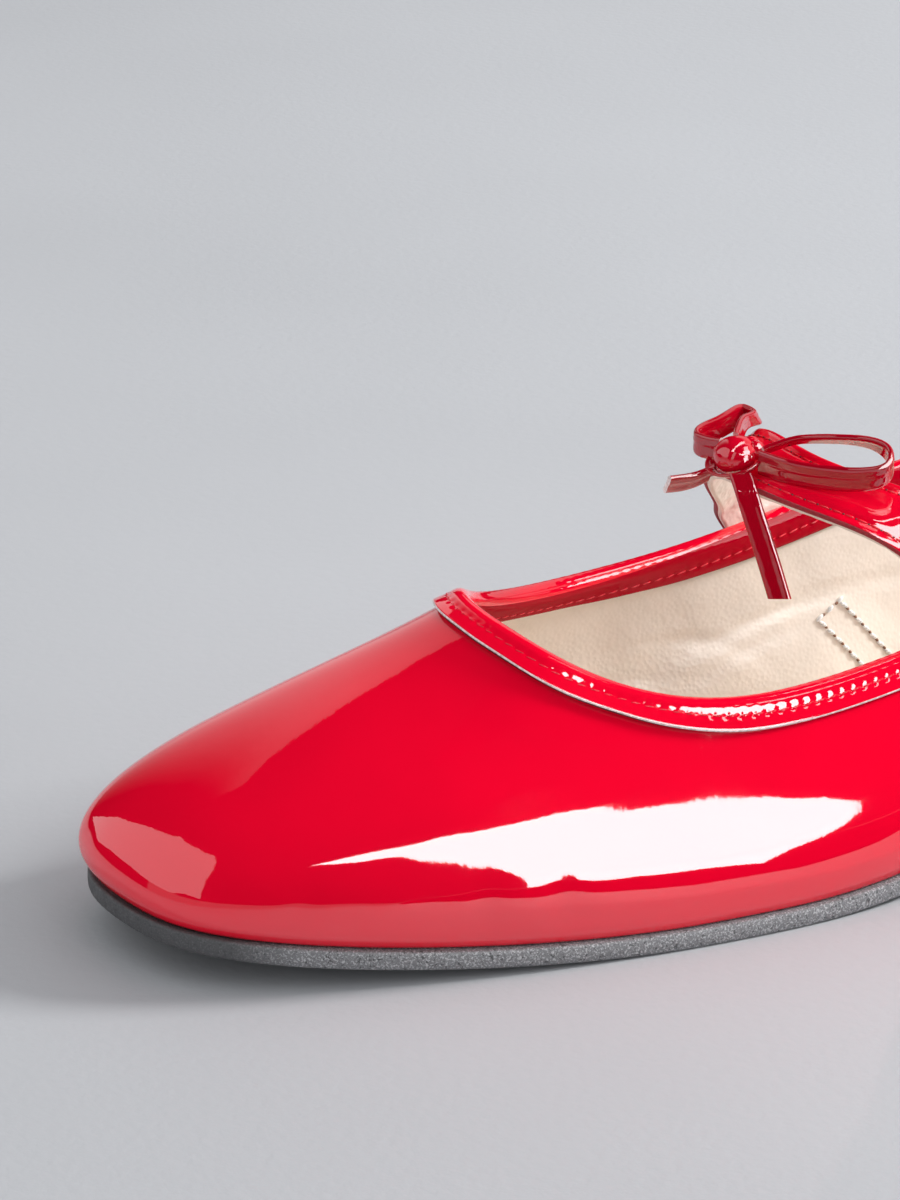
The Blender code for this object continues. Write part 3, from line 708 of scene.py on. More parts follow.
def patent_leather(name, colour, ripple, lacquer_share=1.0):
    """Dyed leather under a clear lacquer, with the lacquer's slight unevenness."""
    material, tree, shader = new_finish(name, colour, 0.5)
    clouds = spread(tree, grain(tree, 0.03, 3.0), 0.35, 0.65, 0.0, 1.0)
    tint = blend_colours(tree, clouds, colour, shade(colour, 0.93))
    tree.links.new(tint, shader.inputs["Base Color"])
    set_inputs(shader, {"Specular IOR Level": 0.0, "Coat Weight": lacquer_share})
    set_inputs(shader, {"Coat Roughness": LACQUER_ROUGHNESS, "Coat IOR": LACQUER_IOR})
    lacquer = emboss(tree, grain(tree, LACQUER_SWELL, 1.0), 2.2 * ripple)
    fine = grain(tree, LACQUER_GRAIN, 2.0, 0.5, (1.0, 1.0, 0.3))
    lacquer = emboss(tree, fine, 0.55 * ripple, lacquer)
    tree.links.new(lacquer, shader.inputs["Normal"])
    tree.links.new(lacquer, shader.inputs["Coat Normal"])
    return material


def lining_leather(name, colour, pebble_depth):
    """Soft pebbled lining leather with a few darker, rubbed clouds."""
    material, tree, shader = new_finish(name, colour, 0.5)
    clouds = spread(tree, grain(tree, 0.012, 4.0), 0.35, 0.7, 0.0, 1.0)
    tint = blend_colours(tree, clouds, colour, shade(colour, 0.90))
    tree.links.new(tint, shader.inputs["Base Color"])
    tree.links.new(spread(tree, grain(tree, 0.002, 3.0), 0.3, 0.7, 0.34, 0.50), shader.inputs["Roughness"])
    surface = emboss(tree, grain(tree, 0.006, 2.0, 0.5), 0.00012)
    surface = emboss(tree, pebbles(tree, 0.00075), pebble_depth, surface)
    tree.links.new(surface, shader.inputs["Normal"])
    set_inputs(shader, {"Sheen Weight": 0.08})
    return material


def cut_edge(name, colour):
    """A cut or painted leather edge: fibrous and mat."""
    material, tree, shader = new_finish(name, colour, 0.6)
    fibres = spread(tree, grain(tree, 0.0006, 3.0, 0.6), 0.35, 0.65, 0.0, 1.0)
    tree.links.new(blend_colours(tree, fibres, colour, shade(colour, 0.62)), shader.inputs["Base Color"])
    tree.links.new(emboss(tree, grain(tree, 0.0004, 3.0), 0.0001), shader.inputs["Normal"])
    return material


def sewing_thread(name, colour):
    """Twisted thread: fine slanting plies."""
    material, tree, shader = new_finish(name, colour, 0.42)
    plies = add_node(tree, "ShaderNodeTexWave", wave_type="BANDS", bands_direction="DIAGONAL")
    set_inputs(plies, {"Scale": 900.0, "Distortion": 1.5})
    tree.links.new(object_place(tree), plies.inputs["Vector"])
    tint = blend_colours(tree, plies.outputs["Fac"], shade(colour, 0.72), colour)
    tree.links.new(tint, shader.inputs["Base Color"])
    tree.links.new(emboss(tree, plies.outputs["Fac"], 0.00006), shader.inputs["Normal"])
    return material


def sole_rubber(name, colour, speckle):
    """Thin pressed rubber: dark, with pale and black specks, and painted shade over the toe's front."""
    material, tree, shader = new_finish(name, colour, 0.55)
    pale = spread(tree, grain(tree, 0.00032, 2.0, 0.6), 0.50, 0.66, 0.0, 1.0)
    tint = blend_colours(tree, pale, colour, speckle)
    black = spread(tree, grain(tree, 0.0006, 3.0, 0.6), 0.58, 0.66, 0.0, 0.8)
    tint = blend_colours(tree, black, tint, shade(colour, 0.1))
    place = add_node(tree, "ShaderNodeSeparateXYZ")
    tree.links.new(object_place(tree), place.inputs[0])
    # Painted shade: the rubber darkens over the toe's front, which faces away from the lamp.
    toe_painted_shade = spread(tree, place.outputs["X"], 0.198, 0.207, 0.0, 0.85)
    tree.links.new(blend_colours(tree, toe_painted_shade, tint, shade(colour, 0.35)), shader.inputs["Base Color"])
    tree.links.new(spread(tree, grain(tree, 0.003, 3.0), 0.3, 0.7, 0.42, 0.68), shader.inputs["Roughness"])
    surface = emboss(tree, grain(tree, 0.0007, 3.0, 0.6), 0.00016)
    tree.links.new(surface, shader.inputs["Normal"])
    return material


def finish(name):
    """The material of this name, made on first use from the colours in the panel."""
    if name in bpy.data.materials:
        return bpy.data.materials[name]
    colours = bpy.context.scene.ballet_flat_colours
    red, cream = tuple(colours.patent), tuple(colours.lining)
    makers = {
        "patent_red": lambda: patent_leather(name, red, colours.lacquer_ripple),
        # Half-bright copy of the red with thin lacquer, for the binding's inner side: painted shade.
        "patent_inside_painted_shade": lambda: patent_leather(name, shade(red, 0.50), colours.lacquer_ripple, 0.14),
        # A darker copy of the red for the ribbons and the knot's lip: painted shade.
        "patent_ribbon_painted_shade": lambda: patent_leather(name, shade(red, 0.48), colours.lacquer_ripple),
        # A less dark copy of the red for the knot, lighter than the ribbons: painted shade.
        "patent_knot_painted_shade": lambda: patent_leather(name, shade(red, 0.72), 0.4 * colours.lacquer_ripple),
        "cream_leather": lambda: lining_leather(name, cream, colours.pebble_depth),
        "binding_edge": lambda: cut_edge(name, (1.0, 0.86, 0.85)),
        "strap_edge": lambda: cut_edge(name, (0.40, 0.004, 0.018)),
        # Near-black red for the undersides of the binding's leaf edges and for the strap's needle holes:
        # painted shade.
        "painted_shade_dark": lambda: cut_edge(name, (0.12, 0.003, 0.006)),
        "red_thread": lambda: sewing_thread(name, shade(red, 0.95)),
        "cream_thread": lambda: sewing_thread(name, (1.0, 0.98, 0.94)),
        # Brown beads for the needle holes through the lining: painted shade.
        "needle_hole_painted_shade": lambda: cut_edge(name, (0.34, 0.17, 0.10)),
        "outsole_rubber": lambda: sole_rubber(name, tuple(colours.rubber), (0.42, 0.42, 0.43)),
    }
    return makers[name]()


# Upper


def upper_round(steps):
    return np.linspace(0.0, ROUND_LENGTH, steps, endpoint=False)


def upper_places(steps, shares):
    """Places on the wall in rows that bend from square to the sole into square to the topline."""
    u = upper_round(steps)
    top_u, top_t = walk_down(u, ROLL_DEPTH)
    return [(u + (top_u - u) * share**2, top_t * share) for share in shares]


def outer_relief(place, points, wrinkles):
    """How far the lasted leather lies inside the last's clean surface, folds and slight waves together."""
    u, t = place
    shape = wrinkles * fold_relief(u, t, UPPER_FOLDS)
    middle = np.clip(np.minimum(t, 1.0 - t) * 6.0, 0.0, 1.0)
    shape = shape * middle + 0.00004 * waves(points, 0.022, 3) * middle
    shape = shape + fold_relief(u, t, WALL_FULLNESS) * middle
    return shape + 0.00025 * np.exp(-((t / 0.035) ** 2))


def make_upper_shell(wrinkles):
    steps, shares = 760, np.linspace(0.0, 1.0, 72) ** 1.05
    thickness = SHELL_THICKNESS
    rows = []
    places = upper_places(steps, shares)
    for place in places:
        points = wall_surface(*place)
        rows.append(points - outer_relief(place, points, wrinkles)[:, None] * wall_normal(*place))
    top = places[-1]
    for angle in (45, 90, 135):
        turn = math.radians(angle)
        along, _ = wall_slopes(*top)
        normal = wall_normal(*top)
        upward = np.cross(unit(along), normal)
        centre = wall_surface(*top) - thickness / 2 * normal
        rows.append(centre + thickness / 2 * (math.cos(turn) * normal + math.sin(turn) * upward))
    for place in places[::-8]:
        points = wall_surface(*place)
        depth = thickness + outer_relief(place, points, wrinkles)
        rows.append(points - depth[:, None] * wall_normal(*place))
    u = upper_round(steps)
    for inward, rise in ((thickness, thickness), (LASTING_MARGIN, thickness), (LASTING_MARGIN, 0.0)):
        edge = feather_edge(u, -inward)
        rows.append(np.column_stack([edge, seat(edge[:, 0]) + rise]))
    rows = np.array(rows)
    piece = make_piece("upper_patent", rows, ring_faces(len(rows), steps, True), [finish("patent_red")])
    return settle(piece, "patent_leather", "upper")


def lining_depth(u, t):
    """How far inside the wall's outer face the lining's soft surface lies."""
    points = wall_surface(u, t)
    soft = np.clip((1.0 - t) * 4.0, 0.0, 1.0)
    uneven = 0.00012 * waves(points, 0.016, 11) + 0.00005 * waves(points, 0.005, 12)
    return WALL - fold_relief(u, t, LINING_FOLDS) + soft * uneven


def make_lining():
    """The lining: fine lengthwise creases low on the wall and a soft puff where it turns under."""
    steps, shares = 640, np.linspace(0.0, 1.0, 56)
    outside = LINING_BACK
    rows = []
    places = upper_places(steps, shares)
    for place in places:
        depth = np.maximum(lining_depth(*place), outside + 0.0002)
        rows.append(wall_surface(*place) - depth[:, None] * wall_normal(*place))
    for place in places[::-9]:
        rows.append(wall_surface(*place) - outside * wall_normal(*place))
    u = upper_round(steps)
    over = WALL + 0.0003
    for inward, rise in ((outside, WALL), (LASTING_MARGIN, WALL), (LASTING_MARGIN, over), (WALL, over)):
        edge = feather_edge(u, -inward)
        rows.append(np.column_stack([edge, seat(edge[:, 0]) + rise]))
    rows = np.array(rows)
    piece = make_piece("lining", rows, ring_faces(len(rows), steps, True), [finish("cream_leather")])
    return settle(piece, "lining_leather")


# Topline binding


def band_points(u, depth, proud):
    """Points at a depth below the topline and this far proud of the wall's outer face."""
    place = walk_down(u, depth)
    return wall_surface(*place) + np.asarray(proud)[..., None] * wall_normal(*place)


def roll_points(u, radius, angle):
    """Points on the half round over the wall's top edge, from its outer side at 0 to its inner side at pi."""
    place = walk_down(u, ROLL_DEPTH)
    normal = wall_normal(*place)
    along, _ = wall_slopes(*place)
    upward = np.cross(unit(along), normal)
    centre = wall_surface(*place) - WALL / 2 * normal
    return centre + np.asarray(radius)[..., None] * (math.cos(angle) * normal + math.sin(angle) * upward)


def stitch_count(pitch):
    seam = band_points(upper_round(1200), OUTER_SEAM_DEPTH, GAP)
    return round(ring_lengths(seam)[-1] / pitch)


def stitch_phase(seam, count):
    """How far each point of a closed seam lies through its stitch, as an angle that is zero at the holes."""
    lengths = ring_lengths(seam)
    return 2 * math.pi * count * lengths[:-1] / lengths[-1]


def pucker_depth(phase, depth, seam_depth, amount):
    """How far the sewn leather is drawn in: a channel under the thread, deeper at each needle hole."""
    away = depth - seam_depth
    hole = 0.5 + 0.5 * np.cos(phase)
    channel = amount * (0.35 + 0.65 * hole) * np.exp(-((away / 0.00062) ** 2))
    flare = np.where(away < 0.0, 0.45, 0.15) * amount * hole * np.exp(-((away / 0.0016) ** 2))
    pit = 1.6 * amount * hole**8 * np.exp(-((away / 0.00026) ** 2))
    return channel + flare + pit


def make_binding(pitch, pucker):
    count = stitch_count(pitch)
    u = upper_round(count * 8)
    pucker = pucker * np.interp(band_points(u, OUTER_SEAM_DEPTH, GAP)[:, 0], (0.120, 0.142), (1.0, 0.4))
    proud, under = GAP + BINDING_LEAF, -WALL - GAP - BINDING_LEAF
    outer_phase = stitch_phase(band_points(u, OUTER_SEAM_DEPTH, GAP), count)
    inner_phase = stitch_phase(band_points(u, INNER_SEAM_DEPTH, -WALL), count)
    uneven = waves(band_points(u, 0.003, 0.0), 0.012, 5)
    lower = BINDING_OUTSIDE + 0.00006 * uneven
    inner_lower = BINDING_INSIDE + 0.00010 * waves(band_points(u, 0.004, -WALL), 0.016, 6)
    rows, kinds = [], []

    def add(row, kind=0):
        rows.append(row)
        kinds.append(kind)

    for share in np.linspace(1.0, 0.0, 15)[:-1]:
        depth = ROLL_DEPTH + (lower - 0.00026 - ROLL_DEPTH) * share
        lifted = 0.00022 * np.clip((share - 0.3) / 0.7, 0.0, 1.0)
        drawn = pucker_depth(outer_phase, depth, OUTER_SEAM_DEPTH, pucker)
        add(band_points(u, depth, proud + lifted - drawn))
    # Kind 2, on the roll's inner quarter and the inner leaf, is the darker red of painted shade.
    radius = WALL / 2 + GAP + BINDING_LEAF
    for share in np.linspace(0.0, 1.0, 11):
        near_out, near_in = math.cos(math.pi * share / 2) ** 2, math.sin(math.pi * share / 2) ** 2
        drawn = near_out * pucker_depth(outer_phase, ROLL_DEPTH, OUTER_SEAM_DEPTH, pucker)
        drawn = drawn + near_in * pucker_depth(inner_phase, ROLL_DEPTH, INNER_SEAM_DEPTH, pucker)
        add(roll_points(u, radius - drawn, math.pi * share), 2 if share > 0.75 else 0)
    for share in np.linspace(0.0, 1.0, 12)[1:]:
        depth = ROLL_DEPTH + (inner_lower - ROLL_DEPTH) * share
        drawn = pucker_depth(inner_phase, depth, INNER_SEAM_DEPTH, pucker)
        skived = 0.00035 * np.clip((share - 0.5) / 0.5, 0.0, 1.0) ** 2
        add(band_points(u, depth, under + skived + drawn), 2)
    # The inner leaf's lower edge face is near black: painted shade under the leaf.
    kinds[-1] = 3
    for share in np.linspace(1.0, 0.0, 4)[:-1]:
        depth = ROLL_DEPTH + (inner_lower - ROLL_DEPTH) * share
        add(band_points(u, depth, -WALL - 0.5 * GAP * np.ones_like(u)))
    for share in np.linspace(1.0, 0.0, 5):
        add(roll_points(u, np.full_like(u, WALL / 2 + GAP), math.pi * share))
    for share in np.linspace(0.0, 1.0, 4)[1:]:
        depth = ROLL_DEPTH + (lower - 0.0002 - ROLL_DEPTH) * share
        add(band_points(u, depth, 0.5 * GAP * np.ones_like(u)))
    # The outer leaf's underside is near black: a painted shadow line under its pale raw edge.
    kinds[-1] = 3
    add(band_points(u, lower, (proud + 0.00003) * np.ones_like(u)), 1)
    rows = np.array(rows)
    which = np.repeat(kinds, len(u))
    materials = [finish(label) for label in ("patent_red", "binding_edge", "patent_inside_painted_shade", "painted_shade_dark")]
    piece = make_piece("binding", rows, ring_faces(len(rows), len(u), True), materials, which)
    return settle(piece, "patent_leather", "topline_binding")


# Sole


def plate_rows(name, profile, inner, material, high=1.0, stations=420, across=28, trim=np.zeros_like):
    """A closed plate under the last: its edge profile on both sides, joined across at every station.

    profile lists (outward, height) pairs round the edge from underneath to on top; height is a function
    of x. inner gives the (bottom, top) heights away from the edge, as functions of x and of the share
    from one side to the other. high is the share of the way from the heel to the toe at which the plate
    ends. trim tells how much closer to the last the edge lies at a place round it.
    """
    share = np.linspace(0.0, high, stations)
    sides = (TOE_PLACE * share, ROUND_LENGTH - (ROUND_LENGTH - TOE_PLACE) * share)
    edges = []
    for u in sides:
        rows = []
        for out, height in profile:
            edge = feather_edge(u, (out - trim(u))[:, None])
            rows.append(np.column_stack([edge, height(edge[:, 0])]))
        edges.append(rows)
    left, right = edges
    sections = []
    weights = np.linspace(0.0, 1.0, across + 2)[1:-1]
    for weight in weights:
        flat = left[0] * (1 - weight) + right[0] * weight
        flat[:, 2] = inner[0](flat[:, 0], weight)
        sections.append(flat)
    sections += right
    for weight in weights[::-1]:
        flat = left[-1] * (1 - weight) + right[-1] * weight
        flat[:, 2] = inner[1](flat[:, 0], weight)
        sections.append(flat)
    sections += left[::-1]
    points = np.array(sections).transpose(1, 0, 2)
    count = len(sections)
    faces = ring_faces(stations, count, False)
    caps = [np.arange(count) + (stations - 1) * count] if high < 1.0 else []
    return make_piece(name, points, faces, [finish(material)], caps=caps)


def level(rise):
    """A height this far above the outsole's underside, for an edge or for the flat between edges."""
    return lambda x, weight=0.0: rocker(x) + rise


def toe_trim(u):
    """The outsole's edge is cut closer at the inner corner of the toe."""
    return 0.0011 * np.exp(-(((u / ROUND_LENGTH - 0.538) / 0.022) ** 2))


def make_outsole():
    """The thin sole: a slightly rounded lower edge and a sharp upper one."""
    ledge, thick = SOLE_LEDGE, OUTSOLE_THICKNESS
    profile = [
        (ledge - 0.0010, level(0.0)),
        (ledge - 0.00045, level(0.00006)),
        (ledge - 0.00012, level(0.00030)),
        (ledge, level(0.0007)),
        (ledge + 0.00004, level(thick * 0.45)),
        (ledge, level(thick - 0.00045)),
        (ledge - 0.00012, level(thick - 0.00015)),
        (ledge - 0.00045, level(thick)),
    ]
    heights = (level(0.0), level(thick))
    piece = plate_rows("outsole_fine", profile, heights, "outsole_rubber", trim=toe_trim)
    return settle(piece, "sole_rubber", "outsole")


def make_heel():
    ledge, top = SOLE_LEDGE - HEEL_INSET, HEEL_HEIGHT - GAP
    front = HEEL_LENGTH - HEEL_SETBACK
    shares = np.linspace(0.02, 0.5, 400)
    reach = feather_edge(TOE_PLACE * shares, ledge)[:, 0]
    high = float(np.interp(front, reach, shares))

    def plain(rise):
        return lambda x, weight=0.0: np.full_like(x, rise)

    profile = [
        (ledge - 0.0012, plain(0.0)),
        (ledge - 0.0005, plain(0.00005)),
        (ledge - 0.0001, plain(0.0004)),
        (ledge, plain(0.0010)),
        (ledge, plain(top - 0.0003)),
        (ledge - 0.0003, plain(top)),
    ]
    heights = (plain(0.0), plain(top))
    piece = plate_rows("heel_block", profile, heights, "outsole_rubber", high=high, stations=140)
    return settle(piece, "sole_rubber", "heel")


def make_insole():
    """The sock: its edge rises a little against the wall and its middle is soft and slightly dished."""
    edge, base, thick = -WALL - 0.0002, SEAT_RISE + WALL + GAP, INSOLE_THICKNESS

    def top(x, weight):
        side = np.minimum(weight, 1.0 - weight) * 2.0
        rim = 0.0007 * np.exp(-((side / 0.10) ** 2))
        points = np.stack([x, np.full_like(x, weight * 0.06), np.zeros_like(x)], axis=-1)
        soft = 0.00022 * waves(points, 0.020, 21) + 0.00008 * waves(points, 0.007, 22)
        inside = np.sin(math.pi * weight)
        return rocker(x) + base + thick + rim - 0.0006 * inside**2 + soft * inside

    profile = [
        (edge - 0.0008, level(base)),
        (edge, level(base + 0.0004)),
        (edge, level(base + thick - 0.0006)),
        (edge - 0.0004, level(base + thick)),
    ]
    heights = (level(base), top)
    piece = plate_rows("insole_sock", profile, heights, "cream_leather", stations=520, across=90)
    return settle(piece, "lining_leather", "insole")


# Strap and ribbons


def sheet_frame(rails, steps, across):
    """Even stations of a strip: points across it, its thickness direction and its width direction."""
    stations = smooth_along(rails, steps)
    shares = np.linspace(-0.5, 0.5, stations.shape[1])
    weights = np.vander(across / 2, len(shares)) @ np.linalg.inv(np.vander(shares, len(shares)))
    points = np.einsum("ar,srk->sak", weights, stations)
    along = np.gradient(points, axis=0)
    wide = np.gradient(points, axis=1)
    if len(across) < 3:
        wide = np.repeat((stations[:, -1] - stations[:, 0])[:, None], len(across), axis=1)
    return points, unit(np.cross(along, wide)), unit(wide)


def strip_piece(name, rails, steps, section, materials, kinds=None, relief=None):
    """A closed strip: section lists (across from -1 to 1, height) round it, height along its normal.

    kinds gives each side of the section the number of its material.
    """
    across = np.array([place for place, _ in section])
    order = np.unique(across)
    points, normal, wide = sheet_frame(rails, steps, order)
    where = np.searchsorted(order, across)
    heights = np.array([height for _, height in section])
    body = points[:, where] + heights[None, :, None] * normal[:, where]
    if relief is not None:
        body = body + relief(points[:, where], across, heights)[..., None] * normal[:, where]
    count = len(section)
    faces = ring_faces(steps + 1, count, False)
    which = None if kinds is None else np.tile(kinds, steps)
    caps = [np.arange(count)[::-1], np.arange(count) + steps * count]
    return make_piece(name, body, faces, materials, which, caps)


def strap_outward():
    """Minus one or one: which way the strap's worked-out normal points, compared with away from the foot."""
    rails = strap_rails()
    points, normal, _ = sheet_frame(rails, 60, np.array([-1.0, 0.0, 1.0]))
    middle = points[:, 1] - np.array([0.07, 0.0, 0.02])
    return 1.0 if (middle * normal[:, 1]).sum() > 0 else -1.0


def make_strap():
    rails = strap_rails()
    outward = strap_outward()
    half = STRAP_THICKNESS / 2
    seam = 1.0 - 2 * STRAP_SEAM_INSET / STRAP_WIDTH
    top = []
    for place in np.linspace(-0.955, 0.955, 33):
        away = (abs(place) - seam) * STRAP_WIDTH / 2
        crown = 0.00016 * (1 - (place / seam) ** 2) if abs(place) < seam else 0.0
        top.append((place, half + crown - 0.00020 * math.exp(-((away / 0.00055) ** 2))))
    side = [(0.99, half - 0.00022), (1.0, half - 0.0006), (1.0, 0.00005), (0.985, -0.00010)]
    below = [(place, -0.00010) for place in (0.6, 0.2, -0.2, -0.6)]
    section = top + side + below + [(-place, height) for place, height in side[::-1]]
    kinds = [0] * (len(top) - 1) + [1] * (2 * len(side) + len(below) + 1)
    section = [(place, outward * height) for place, height in section]

    def ripple(points, across, heights):
        soft = outward * 0.00005 * waves(points, 0.014, 31)
        return np.where(np.abs(heights) > half * 0.8, soft, 0.0)

    materials = [finish("patent_red"), finish("strap_edge")]
    face = strip_piece("strap_face", rails, 340, section, materials, kinds, ripple)
    settle(face, "patent_leather", "strap")

    def crinkle(points, across, heights):
        fine = 0.00014 * waves(points, 0.0045, 33) + 0.00008 * waves(points, 0.0022, 34)
        return np.where(np.abs(heights) > half * 0.6, outward * np.abs(fine), 0.0)

    lower = [(place, -half) for place in np.linspace(0.93, -0.93, 31)]
    upper_side = [(place, -0.00012) for place in (-0.6, 0.0, 0.6)]
    section = lower + [(-0.975, -half + 0.0002), (-0.975, -0.00015)] + upper_side
    section += [(0.975, -0.00015), (0.975, -half + 0.0002)]
    section = [(place, outward * height) for place, height in section]
    back = strip_piece("strap_lining", rails, 340, section, [finish("cream_leather")], None, crinkle)
    settle(back, "lining_leather")
    return face


def ribbon_rails(turns, length, width, centre):
    route = np.array([[turn.toeward, turn.outward, turn.up] for turn in turns]) * length + centre
    wide = unit(np.array([[turn.wide_toe, turn.wide_out, turn.wide_up] for turn in turns]))
    return np.stack([route - wide * width / 2, route, route + wide * width / 2], axis=1)


def ribbon_section(thickness, roll):
    """A folded ribbon's section: thin in the middle, with the turned edges standing up as soft rolls."""
    places = np.linspace(-0.97, 0.97, 19)
    half = thickness / 2

    def height(place):
        end = math.sqrt(max(1.0 - abs(place) ** 6, 0.0))
        return half * end * (1.0 - roll * math.exp(-((place / 0.62) ** 2)))

    upper_side = [(place, height(place)) for place in places]
    lower_side = [(place, -height(place)) for place in places[::-1]]
    return upper_side + [(1.0, 0.0)] + lower_side + [(-1.0, 0.0)]


RIBBONS = (
    ("loop_outer", "bow_loop_outer", NEAR_LOOP, LOOP_LENGTH, RIBBON_WIDTH, 220, 41),
    ("loop_inner", "bow_loop_inner", FAR_LOOP, LOOP_LENGTH, FAR_RIBBON_WIDTH, 220, 42),
    ("tail_outer", "bow_tail_outer", NEAR_TAIL, TAIL_LENGTH, TAIL_WIDTH, 150, 43),
    ("tail_inner", "bow_tail_inner", FAR_TAIL, TAIL_LENGTH, TAIL_WIDTH, 100, 44),
)


def ribbon_end(piece, count):
    """The raw, pale cut at a ribbon's ends."""
    piece.data.materials.append(finish("binding_edge"))
    for polygon in piece.data.polygons:
        if len(polygon.vertices) == count:
            polygon.material_index = 1


def make_ribbons(centre, crumple):
    section = ribbon_section(RIBBON_THICKNESS, 0.18)
    for name, node, turns, length, width, steps, seed in RIBBONS:
        rails = ribbon_rails(turns, length, width, centre)

        def crease(points, across, heights, seed=seed):
            soft = 0.00013 * waves(points, 0.0052, seed) + 0.00005 * waves(points, 0.0019, seed + 20)
            near = np.linalg.norm(points - centre, axis=-1)
            drawn = 1.0 + 1.6 * np.exp(-((near / 0.006) ** 2))
            fold = -0.00007 * np.exp(-((across - 0.28) ** 2) / 0.016)
            return crumple * soft * drawn + fold[None, :] * np.ones_like(near)

        # The ribbons take the darker copy of the red: painted shade.
        piece = strip_piece(name, rails, steps, section, [finish("patent_ribbon_painted_shade")], None, crease)
        ribbon_end(piece, len(section))
        settle(piece, "patent_leather", node)


def dome(name, centre, axes, relief, seed):
    """A closed rounded lump on three half axes, worked by a relief over the unit ball."""
    rows, count = 72, 144
    down = np.linspace(0.0, math.pi, rows)[:, None]
    turn = np.linspace(0.0, 2 * math.pi, count, endpoint=False)[None, :]
    level_round = np.cos(down) * np.ones_like(turn)
    ball = np.stack([np.sin(down) * np.cos(turn), np.sin(down) * np.sin(turn), level_round], -1)
    radius = 1.0 + relief(ball)
    points = centre + (ball * radius[..., None]) @ np.array(axes)
    points = points + 0.00003 * unit(points - centre) * waves(points, 0.0042, seed)[..., None]
    # Domes take a less dark copy of the red: painted shade.
    return make_piece(name, points, ring_faces(rows, count, False), [finish("patent_knot_painted_shade")])


def make_knot(centre, wide, normal):
    """The wrapped knot: a pleated dome, a thin turned lip on its toe side and a second wrap behind it."""
    outward = np.array([0.0, 1.0, 0.0])
    axes = (-wide * KNOT_WIDTH / 2, outward * KNOT_LENGTH / 2, normal * KNOT_HEIGHT / 2)

    def pleats(ball):
        side, upward = ball[..., 1], np.clip(ball[..., 2], 0.0, 1.0)
        groove = 0.10 * np.exp(-(((side + 0.46 + 0.12 * ball[..., 0]) / 0.075) ** 2))
        groove += 0.07 * np.exp(-(((side - 0.58 - 0.10 * ball[..., 0]) / 0.070) ** 2))
        swell = 0.035 * np.exp(-(((side - 0.10) / 0.30) ** 2))
        return swell - groove * upward**0.5

    piece = dome("knot", centre, axes, pleats, 51)
    settle(piece, "patent_leather", "bow_knot")
    behind = centre + wide * 0.0030 + outward * 0.0006 - normal * 0.0004
    axes = (-wide * 0.0016, outward * 0.0029, normal * 0.0019)

    def creases(ball):
        return 0.09 * np.cos(9.0 * ball[..., 1] + 0.6) * np.clip(ball[..., 2], 0, 1)

    wrap = dome("knot_wrap", behind, axes, creases, 52)
    settle(wrap, "patent_leather")
    turn = np.radians(np.linspace(-58.0, 112.0, 13))[:, None]
    route = centre - 0.0011 * normal
    route = route - np.cos(turn) * wide * (KNOT_WIDTH / 2 + 0.0008)
    route = route + np.sin(turn) * outward * (KNOT_LENGTH / 2 + 0.0006)
    lean = unit(0.75 * normal + 0.66 * unit(route - centre))
    rails = np.stack([route - lean * 0.0009, route, route + lean * 0.0012], axis=1)
    section = ribbon_section(LIP_THICKNESS, 0.2)
    # The lip takes the darker copy of the red: painted shade.
    lip = strip_piece("knot_lip", rails, 120, section, [finish("patent_ribbon_painted_shade")])
    settle(lip, "patent_leather")


# Stitches, by Geometry Nodes


